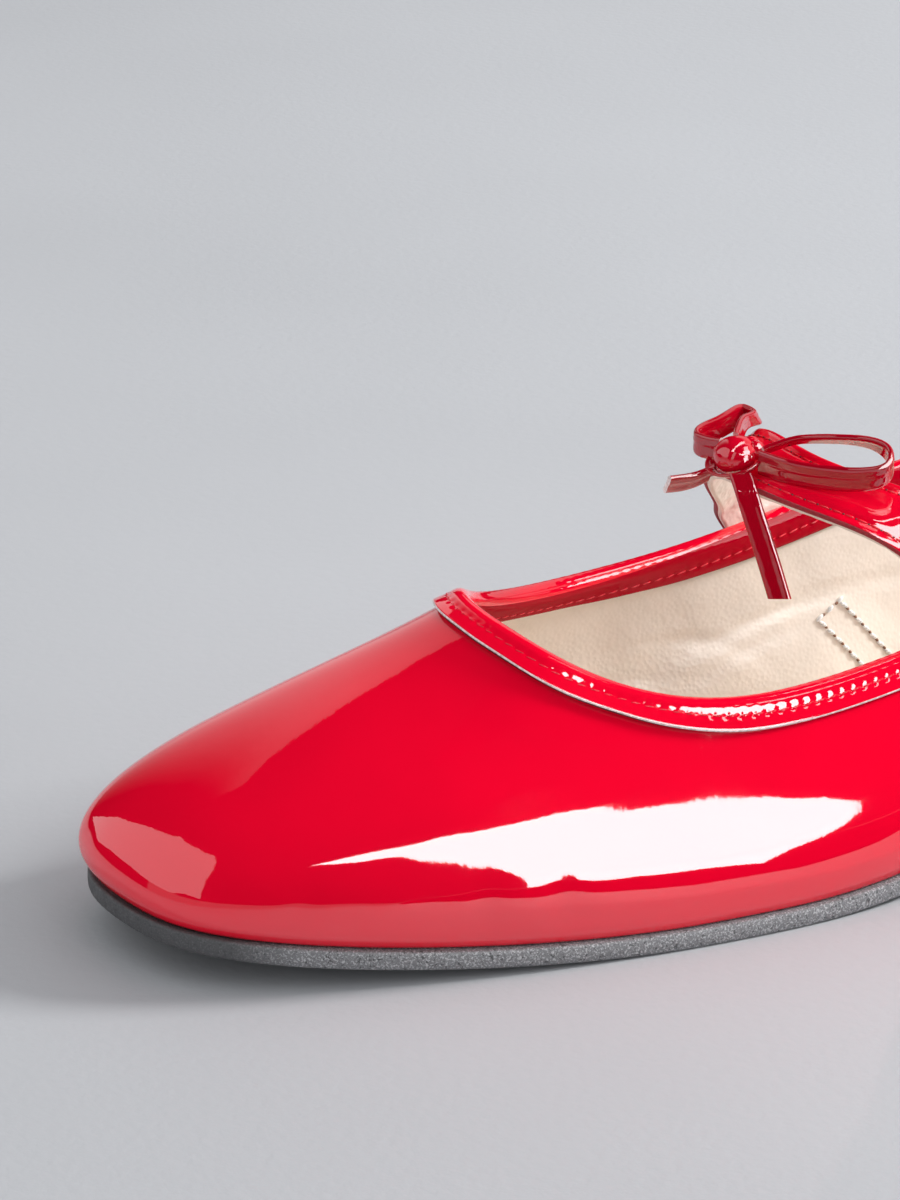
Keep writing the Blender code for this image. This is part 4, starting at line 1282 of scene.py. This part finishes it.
def stitch_tree():
    """A node tree that lays thread stitches along a route whose points carry their own directions."""
    tree = bpy.data.node_groups.new("Sewn row", "GeometryNodeTree")
    sockets = (
        ("Geometry", "INPUT", "NodeSocketGeometry"),
        ("Stitches", "INPUT", "NodeSocketInt"),
        ("Stitch Length", "INPUT", "NodeSocketFloat"),
        ("Thread Thickness", "INPUT", "NodeSocketFloat"),
        ("Unevenness", "INPUT", "NodeSocketFloat"),
        ("Thread", "INPUT", "NodeSocketMaterial"),
        ("Geometry", "OUTPUT", "NodeSocketGeometry"),
    )
    for name, way, kind in sockets:
        tree.interface.new_socket(name, in_out=way, socket_type=kind)
    given = add_node(tree, "NodeGroupInput")
    result = add_node(tree, "NodeGroupOutput")
    curve = add_node(tree, "GeometryNodeMeshToCurve")
    even = add_node(tree, "GeometryNodeResampleCurve", mode="COUNT")
    place = add_node(tree, "GeometryNodeInstanceOnPoints")
    out, along = (
        add_node(tree, "GeometryNodeInputNamedAttribute", {"Name": label}, data_type="FLOAT_VECTOR")
        for label in ("out", "along")
    )
    aim = add_node(tree, "FunctionNodeAxesToRotation", primary_axis="X", secondary_axis="Z")
    bead = add_node(tree, "GeometryNodeMeshUVSphere", {"Segments": 10, "Rings": 8, "Radius": 0.5})
    size = add_node(tree, "ShaderNodeCombineXYZ")
    vary = add_node(tree, "FunctionNodeRandomValue", {"Seed": 7}, data_type="FLOAT")
    low = add_node(tree, "ShaderNodeMath", {0: 1.0}, operation="SUBTRACT")
    high = add_node(tree, "ShaderNodeMath", {0: 1.0}, operation="ADD")
    length = add_node(tree, "ShaderNodeMath", operation="MULTIPLY")
    real = add_node(tree, "GeometryNodeRealizeInstances")
    smooth = add_node(tree, "GeometryNodeSetShadeSmooth")
    thread = add_node(tree, "GeometryNodeSetMaterial")
    links = (
        (given.outputs["Geometry"], curve.inputs["Mesh"]),
        (curve.outputs["Curve"], even.inputs["Curve"]),
        (given.outputs["Stitches"], even.inputs["Count"]),
        (even.outputs["Curve"], place.inputs["Points"]),
        (bead.outputs["Mesh"], place.inputs["Instance"]),
        (along.outputs["Attribute"], aim.inputs["Primary Axis"]),
        (out.outputs["Attribute"], aim.inputs["Secondary Axis"]),
        (aim.outputs["Rotation"], place.inputs["Rotation"]),
        (given.outputs["Unevenness"], low.inputs[1]),
        (given.outputs["Unevenness"], high.inputs[1]),
        (low.outputs[0], vary.inputs[2]),
        (high.outputs[0], vary.inputs[3]),
        (given.outputs["Stitch Length"], length.inputs[0]),
        (vary.outputs[1], length.inputs[1]),
        (length.outputs[0], size.inputs["X"]),
        (given.outputs["Thread Thickness"], size.inputs["Y"]),
        (given.outputs["Thread Thickness"], size.inputs["Z"]),
        (size.outputs[0], place.inputs["Scale"]),
        (place.outputs["Instances"], real.inputs["Geometry"]),
        (real.outputs["Geometry"], smooth.inputs["Geometry"]),
        (smooth.outputs["Geometry"], thread.inputs["Geometry"]),
        (given.outputs["Thread"], thread.inputs["Material"]),
        (thread.outputs["Geometry"], result.inputs["Geometry"]),
    )
    for source, target in links:
        tree.links.new(source, target)
    return tree


def sew(name, route, out, closed, count, length, thickness, thread, slant=0.0):
    """Stitches along a route, with their outward directions, as one plain mesh."""
    ends = np.vstack([route[-1:], route, route[:1]]) if closed else np.vstack([route[:1], route, route[-1:]])
    along = unit(ends[2:] - ends[:-2])
    out = unit(out)
    turn = math.radians(slant)
    along = math.cos(turn) * along + math.sin(turn) * np.cross(out, along)
    total = len(route)
    edges = [(i, (i + 1) % total) for i in range(total if closed else total - 1)]
    mesh = bpy.data.meshes.new(name + "_route")
    mesh.from_pydata(route.tolist(), edges, [])
    for label, values in (("out", out), ("along", along)):
        layer = mesh.attributes.new(label, "FLOAT_VECTOR", "POINT")
        layer.data.foreach_set("vector", values.ravel())
    holder = place_object(name + "_route", mesh)
    tree = bpy.data.node_groups.get("Sewn row") or stitch_tree()
    rows = holder.modifiers.new("Sewn row", "NODES")
    rows.node_group = tree
    values = {
        "Stitches": count,
        "Stitch Length": length,
        "Thread Thickness": thickness,
        "Unevenness": STITCH_UNEVENNESS,
        "Thread": thread,
    }
    for item in tree.interface.items_tree:
        if item.item_type == "SOCKET" and item.in_out == "INPUT" and item.name in values:
            rows[item.identifier] = values[item.name]
    bpy.context.view_layer.update()
    graph = bpy.context.evaluated_depsgraph_get()
    sewn = bpy.data.meshes.new_from_object(holder.evaluated_get(graph))
    sewn.name = name
    holder.modifiers.clear()
    bpy.data.objects.remove(holder)
    for label in ("out", "along"):
        if label in sewn.attributes:
            sewn.attributes.remove(sewn.attributes[label])
    if not sewn.polygons:
        raise RuntimeError(f"{name} came out empty")
    return place_object(name, sewn)


def sew_topline(pitch, thickness):
    """The binding's two rows: red outside and, lower down, red through the lining inside."""
    count = stitch_count(pitch)
    u = upper_round(count * 8)
    proud, under = GAP + BINDING_LEAF, -WALL - GAP - BINDING_LEAF
    rows = (("outer", OUTER_SEAM_DEPTH, proud, 1.0), ("inner", INNER_SEAM_DEPTH, under, -1.0))
    for side, depth, height, facing in rows:
        name = "topline_stitches_" + side
        base = band_points(u, depth, height)
        lengths = ring_lengths(base)
        halfway = (lengths[:-1] + lengths[-1] / count / 2) % lengths[-1]
        middle = np.interp(halfway, lengths, np.append(u, u[-1] + u[1]))
        route = band_points(middle, depth, height - facing * 0.00010)
        out = facing * wall_normal(*walk_down(middle, depth))
        length = pitch * TOPLINE_STITCH
        piece = sew(name, route, out, True, count, length, thickness, finish("red_thread"), 7.0)
        settle(piece, "patent_leather")


def sew_strap(pitch, thickness):
    """Two rows along the strap, in from its edges, on its patent side."""
    rails = strap_rails()
    outward = strap_outward()
    seam = 1.0 - 2 * STRAP_SEAM_INSET / STRAP_WIDTH
    for name, place in (("strap_stitches_front", -seam), ("strap_stitches_back", seam)):
        points, normal, _ = sheet_frame(rails, 700, np.array([-1.0, place, 1.0]))
        route = points[6:-6, 1] + outward * (STRAP_THICKNESS / 2 - 0.00008) * normal[6:-6, 1]
        count = round(chord_knots(route)[-1] / pitch)
        facing = outward * normal[6:-6, 1]
        length = pitch * STRAP_STITCH
        piece = sew(name, route, facing, False, count, length, thickness, finish("red_thread"))
        settle(piece, "patent_leather")
        # Near-black beads stand for the needle holes: painted shade in the holes.
        settle(needle_holes(name, route, facing, count, 1.3 * thickness, "painted_shade_dark"), "patent_leather")


def inner_wall_route(corners, steps, lift):
    """Points along straight runs between (x, z) places on the inner wall, on the lining's face."""
    corners = np.array(corners)
    knots = chord_knots(corners)
    shares = np.linspace(0.0, knots[-1], steps)
    route, out = [], []
    for share in shares:
        x, z = (np.interp(share, knots, corners[:, k]) for k in (0, 1))
        place = wall_place(x, z, -1)
        normal = wall_normal(*place)
        route.append(wall_surface(*place) - (lining_depth(*place) + lift) * normal)
        out.append(-normal)
    return np.array(route), np.array(out)


def needle_holes(name, route, out, count, thickness, colour):
    """Dark beads between the stitches of an open row, standing for the needle holes: painted shade."""
    half = max(1, round(len(route) / (2 * count)))
    middle = route[half:-half]
    name, number = name + "_holes", max(2, count - 1)
    width = HOLE_WIDTH * thickness
    return sew(name, middle, out[half:-half], False, number, thickness, width, finish(colour))


def sew_anchor(pitch, thickness):
    """Where the strap's inner end is sewn through the wall, the stitches show on the lining."""
    for name, corners in ANCHOR_ROWS:
        route, out = inner_wall_route(corners, 40, 0.00022)
        count = max(2, round(chord_knots(route)[-1] / pitch) + 1)
        length = pitch * ANCHOR_STITCH
        piece = sew(name, route, out, False, count, length, thickness, finish("cream_thread"), 10.0)
        settle(piece, "lining_leather")
        # The holes through the lining are brown beads: painted shade.
        settle(needle_holes(name, route, out, count, thickness, "needle_hole_painted_shade"), "lining_leather")


def tack_bow(centre, wide, normal):
    """Fine tacking threads that hold the knot down on the strap."""
    outward = np.array([0.0, 1.0, 0.0])
    for number, (back, side, run) in enumerate(TACKS):
        start = centre + wide * back + outward * side - normal * (KNOT_HEIGHT / 2 - 0.0003)
        middle = start + outward * run / 2 + normal * 0.0006
        end = start + outward * run
        t = np.linspace(0.0, 1.0, 40)[:, None]
        route = (1 - t) ** 2 * start + 2 * t * (1 - t) * (middle + normal * 0.0006) + t**2 * end
        out = np.repeat(normal[None, :], len(route), axis=0)
        name = f"bow_tack_{number + 1}"
        piece = sew(name, route, out, False, 5, run / 3.4, TACK_THICKNESS, finish("red_thread"), 16.0)
        settle(piece, "patent_leather")


# Stage


def sphere_point(azimuth, elevation):
    azimuth, elevation = math.radians(azimuth), math.radians(elevation)
    level_part = math.cos(elevation)
    direction = Vector((math.cos(azimuth) * level_part, math.sin(azimuth) * level_part, math.sin(elevation)))
    return Vector(CARD_CENTRE) + CARD_DISTANCE * direction


def light_card(name, corners, strength):
    """A glowing panel that the lacquer mirrors, given by (azimuth, elevation) corners seen from the shoe."""
    ring = []
    for first, second in zip(corners, corners[1:] + corners[:1]):
        for share in (0.0, 0.25, 0.5, 0.75):
            ring.append([a + (b - a) * share for a, b in zip(first, second)])
    faces = tessellate_polygon([[Vector((*corner, 0.0)) for corner in ring]])
    points = [sphere_point(*corner) for corner in ring]
    return glowing_sheet(name, points, faces, strength)


def fading_card(name, strength):
    """A panel between two edges whose light falls from the first edge to the second."""
    first, second = (np.array(edge) for edge in FADING_CARD)
    columns = len(FADING_LEVELS)
    shares = np.linspace(0.0, 1.0, columns)
    points = [sphere_point(*(a + (b - a) * share)) for a, b in zip(first, second) for share in shares]
    faces = []
    for row in range(len(first) - 1):
        for column in range(columns - 1):
            corner = row * columns + column
            faces.append((corner, corner + 1, corner + columns + 1, corner + columns))
    card = glowing_sheet(name, points, faces, strength)
    levels = card.data.attributes.new("level", "FLOAT", "POINT")
    rows = np.array(FADING_ROWS)[:, None] * np.array(FADING_LEVELS)
    levels.data.foreach_set("value", rows.ravel())
    tree = card.data.materials[0].node_tree
    level_node = add_node(tree, "ShaderNodeAttribute", attribute_name="level")
    power = add_node(tree, "ShaderNodeMath", {1: strength}, operation="MULTIPLY")
    tree.links.new(level_node.outputs["Fac"], power.inputs[0])
    tree.links.new(power.outputs[0], tree.nodes["Emission"].inputs["Strength"])
    return card


def glowing_sheet(name, points, faces, strength):
    """A white sheet that glows, without a shadow and unseen by the camera."""
    mesh = bpy.data.meshes.new(name)
    mesh.from_pydata(points, [], faces)
    card = place_object(name, mesh)
    material = bpy.data.materials.new(name)
    material.use_nodes = True
    tree = material.node_tree
    tree.nodes.clear()
    glow = add_node(tree, "ShaderNodeEmission", {"Color": WHITE, "Strength": strength})
    output = add_node(tree, "ShaderNodeOutputMaterial")
    tree.links.new(glow.outputs["Emission"], output.inputs["Surface"])
    mesh.materials.append(material)
    card.visible_camera = False
    card.visible_shadow = False
    return card


def floor_sheet(name, corners, height, strength):
    """A level sheet that only mirror images show: glowing, or dark at no strength."""
    points = [(x, y, height) for x, y in corners]
    sheet = glowing_sheet(name, points, tessellate_polygon([[Vector(point) for point in points]]), strength)
    sheet.visible_diffuse = False


def hang_lamp(name, kind, place, aim, power, **settings):
    """A lamp that lights mat surfaces and has no mirror image."""
    data = bpy.data.lights.new(name, kind)
    data.energy = power
    for label, value in settings.items():
        setattr(data, label, value)
    lamp = place_object(name, data)
    lamp.location = place
    lamp.rotation_euler = (Vector(aim) - Vector(place)).to_track_quat("-Z", "Y").to_euler()
    lamp.visible_glossy = False


def make_lamps(soft_power, snoot_power):
    """A soft lamp from behind the heel throws the shadow, and a narrow one lights the lining."""
    hang_lamp("soft_lamp", "AREA", LAMP_PLACE, CARD_CENTRE, soft_power, shape="DISK", size=LAMP_SIZE)
    snoot = {"spot_size": SNOOT_ANGLE, "spot_blend": 1.0, "shadow_soft_size": SNOOT_SIZE}
    hang_lamp("snoot_lamp", "SPOT", SNOOT_PLACE, SNOOT_AIM, snoot_power, **snoot)


def make_floor(colour):
    """The studio's table, painted lighter far off and darker near so that its tone looks even across the
    picture: painted light.
    """
    size = 4.0
    mesh = bpy.data.meshes.new("floor")
    corners = [(-size, -size, 0.0), (size, -size, 0.0), (size, size, 0.0), (-size, size, 0.0)]
    mesh.from_pydata(corners, [], [(0, 1, 2, 3)])
    floor = place_object("floor", mesh)
    material, tree, shader = new_finish("studio_floor", colour, 0.65)
    place = add_node(tree, "ShaderNodeSeparateXYZ")
    tree.links.new(object_place(tree), place.inputs[0])
    # Painted light: lighter far off and darker near, to even out how the lamps light the table.
    nearness = spread(tree, place.outputs["Y"], -0.50, 0.14, 0.0, 1.0)
    even = blend_colours(tree, nearness, shade(colour, 1.04), shade(colour, 0.945))
    clouds = spread(tree, grain(tree, 0.16, 3.0), 0.3, 0.7, 0.0, 0.05)
    tree.links.new(blend_colours(tree, clouds, even, (0.0, 0.0, 0.0)), shader.inputs["Base Color"])
    tree.links.new(emboss(tree, grain(tree, 0.002, 2.0), 0.0001), shader.inputs["Normal"])
    mesh.materials.append(material)


def make_world(fill):
    """Even fill for mat surfaces, dark in reflections so that only the cards show in the lacquer."""
    world = bpy.data.worlds.new("studio")
    bpy.context.scene.world = world
    world.use_nodes = True
    tree = world.node_tree
    tree.nodes.clear()
    rays = add_node(tree, "ShaderNodeLightPath")
    soft = add_node(tree, "ShaderNodeBackground", {"Color": FILL_COLOUR, "Strength": fill})
    dark = add_node(tree, "ShaderNodeBackground", {"Color": WHITE, "Strength": DARK_FILL})
    choose = add_node(tree, "ShaderNodeMixShader")
    output = add_node(tree, "ShaderNodeOutputWorld")
    tree.links.new(rays.outputs["Is Glossy Ray"], choose.inputs[0])
    tree.links.new(soft.outputs[0], choose.inputs[1])
    tree.links.new(dark.outputs[0], choose.inputs[2])
    tree.links.new(choose.outputs[0], output.inputs["Surface"])


def make_camera():
    """Three-quarter view from the toe's outer side, through a long lens."""
    data = bpy.data.cameras.new("camera")
    data.sensor_fit = "VERTICAL"
    data.sensor_height = 36.0
    data.lens = LENS
    data.clip_start = 0.01
    data.clip_end = 20.0
    camera = place_object("camera", data)
    forward = (Vector(CAMERA_AIM) - Vector(CAMERA_PLACE)).normalized()
    right = forward.cross(Vector((0, 0, 1))).normalized()
    upward = right.cross(forward)
    turn = Matrix((right, upward, -forward)).transposed()
    camera.matrix_world = Matrix.Translation(CAMERA_PLACE) @ turn.to_4x4()
    bpy.context.scene.camera = camera


# The add-on's panel


def colour_value(name, description, default):
    return FloatVectorProperty(
        name=name, description=description, subtype="COLOR", size=3, min=0.0, max=1.0, default=default
    )


def length_value(name, description, default, low=0.0):
    return FloatProperty(
        name=name, description=description, subtype="DISTANCE", unit="LENGTH", default=default, min=low
    )


def share_value(name, description, default):
    return FloatProperty(
        name=name, description=description, subtype="FACTOR", default=default, min=0.0, max=2.0
    )


def strength_value(name, description, default):
    return FloatProperty(name=name, description=description, default=default, min=0.0)


class BalletFlatColours(bpy.types.PropertyGroup):
    """Colours and finish of the leathers, thread and rubber."""

    patent: colour_value(
        "Patent leather", "Colour of the lacquered upper, binding, strap and bow", (0.93, 0.001, 0.026)
    )
    lining: colour_value("Lining", "Colour of the lining and the sock", (0.91, 0.81, 0.70))
    rubber: colour_value("Sole", "Colour of the outsole and the heel", (0.160, 0.160, 0.168))
    lacquer_ripple: length_value("Lacquer ripple", "Depth of the finest unevenness in the lacquer", 0.00001)
    pebble_depth: length_value("Pebble depth", "Depth of the lining's pebbled grain", 0.00006)


class BalletFlatSizes(bpy.types.PropertyGroup):
    """Sizes of the sewing and of the leather's folds."""

    stitch_pitch: length_value("Stitch pitch", "Distance from one stitch to the next", 0.0022, 0.001)
    thread_thickness: length_value("Thread thickness", "Thickness of the sewing thread", 0.00032, 0.0001)
    pucker: length_value("Pucker", "How far the stitches draw the binding in", 0.00011)
    fold_depth: share_value("Fold depth", "Strength of the upper's soft folds", 1.0)
    crumple: share_value("Ribbon crumple", "Strength of the ribbons' creases", 0.20)


class BalletFlatStage(bpy.types.PropertyGroup):
    """The studio round the shoe."""

    key_strength: strength_value("Key light", "Strength of the large white panel at the outer side", 9.0)
    window_strength: strength_value("Far panels", "Strength of the panels ahead and on the inner side", 1.1)
    lamp_power: strength_value("Soft lamp", "Power in watts of the soft lamp behind the heel", 24.0)
    snoot_power: strength_value("Snoot", "Power in watts of the narrow lamp on the lining", 9.0)
    fill: strength_value("Fill", "Strength of the even light all round", 0.80)
    floor: colour_value("Floor", "Colour of the floor", (0.50, 0.507, 0.525))


class MakeUpper(bpy.types.Operator):
    """Make the lasted patent shell and its lining"""

    bl_idname = "ballet_flat.upper"
    bl_label = "Upper and lining"

    def execute(self, context):
        make_upper_shell(context.scene.ballet_flat_sizes.fold_depth)
        make_lining()
        return {"FINISHED"}


class MakeBinding(bpy.types.Operator):
    """Make the folded binding over the topline"""

    bl_idname = "ballet_flat.binding"
    bl_label = "Topline binding"

    def execute(self, context):
        sizes = context.scene.ballet_flat_sizes
        make_binding(sizes.stitch_pitch, sizes.pucker)
        return {"FINISHED"}


class MakeSole(bpy.types.Operator):
    """Make the outsole, the heel and the sock"""

    bl_idname = "ballet_flat.sole"
    bl_label = "Sole, heel and sock"

    def execute(self, context):
        make_outsole()
        make_heel()
        make_insole()
        return {"FINISHED"}


class MakeStrap(bpy.types.Operator):
    """Make the instep strap's patent face and its lining"""

    bl_idname = "ballet_flat.strap"
    bl_label = "Strap"

    def execute(self, context):
        make_strap()
        return {"FINISHED"}


class MakeBow(bpy.types.Operator):
    """Make the bow's knot, loops and tails"""

    bl_idname = "ballet_flat.bow"
    bl_label = "Bow"

    def execute(self, context):
        centre, wide, normal = knot_place(strap_rails())
        make_ribbons(centre, context.scene.ballet_flat_sizes.crumple)
        make_knot(centre, wide, normal)
        tack_bow(centre, wide, normal)
        return {"FINISHED"}


class MakeStitches(bpy.types.Operator):
    """Sew the binding, the strap and the strap's inner end"""

    bl_idname = "ballet_flat.stitches"
    bl_label = "Stitches"

    def execute(self, context):
        sizes = context.scene.ballet_flat_sizes
        sew_topline(sizes.stitch_pitch, sizes.thread_thickness)
        sew_strap(sizes.stitch_pitch, sizes.thread_thickness)
        sew_anchor(sizes.stitch_pitch, sizes.thread_thickness * ANCHOR_THREAD)
        return {"FINISHED"}


class MakeStage(bpy.types.Operator):
    """Make the floor, the light panels, the even fill and the camera"""

    bl_idname = "ballet_flat.stage"
    bl_label = "Stage"

    def execute(self, context):
        stage = context.scene.ballet_flat_stage
        make_camera()
        make_floor(tuple(stage.floor))
        make_world(stage.fill)
        light_card("key_card", KEY_CARD, stage.key_strength).visible_diffuse = False
        fading_card("inner_card", stage.window_strength * 0.75)
        for name, corners, share in FAR_CARDS:
            light_card(name, corners, stage.window_strength * share).visible_diffuse = False
        floor_sheet("floor_dark", FLOOR_DARK, 0.0005, 0.0)
        floor_sheet("floor_key", FLOOR_KEY, 0.0010, stage.key_strength)
        floor_sheet("shade_card", SHADE_CARD, SHADE_HEIGHT, 0.0)
        roll_sheet = glowing_sheet("roll_sheet", ROLL_SHEET, [(0, 1, 2, 3)], stage.key_strength * 0.8)
        roll_sheet.visible_diffuse = False
        make_lamps(stage.lamp_power, stage.snoot_power)
        context.scene.view_settings.view_transform = "Standard"
        return {"FINISHED"}


class BalletFlatPanel(bpy.types.Panel):
    """Pieces of the shoe, with their colours and sizes"""

    bl_idname = "VIEW3D_PT_ballet_flat"
    bl_label = "Ballet flat"
    bl_space_type = "VIEW_3D"
    bl_region_type = "UI"
    bl_category = "Ballet flat"

    def draw(self, context):
        layout = self.layout
        for name, kind in GROUPS:
            box = layout.box()
            for label in kind.__annotations__:
                box.prop(getattr(context.scene, name), label)
        for step in STEPS:
            layout.operator(step.bl_idname)


STEPS = (MakeStage, MakeUpper, MakeBinding, MakeSole, MakeStrap, MakeBow, MakeStitches)
GROUPS = (
    ("ballet_flat_colours", BalletFlatColours),
    ("ballet_flat_sizes", BalletFlatSizes),
    ("ballet_flat_stage", BalletFlatStage),
)


def register():
    for name, group in GROUPS:
        bpy.utils.register_class(group)
        setattr(bpy.types.Scene, name, PointerProperty(type=group))
    for kind in STEPS + (BalletFlatPanel,):
        bpy.utils.register_class(kind)


def unregister():
    for kind in (BalletFlatPanel,) + STEPS[::-1]:
        bpy.utils.unregister_class(kind)
    for name, group in GROUPS[::-1]:
        delattr(bpy.types.Scene, name)
        bpy.utils.unregister_class(group)


def main():
    register()
    for step in STEPS:
        family, name = step.bl_idname.split(".")
        getattr(getattr(bpy.ops, family), name)()


if __name__ == "__main__":
    main()
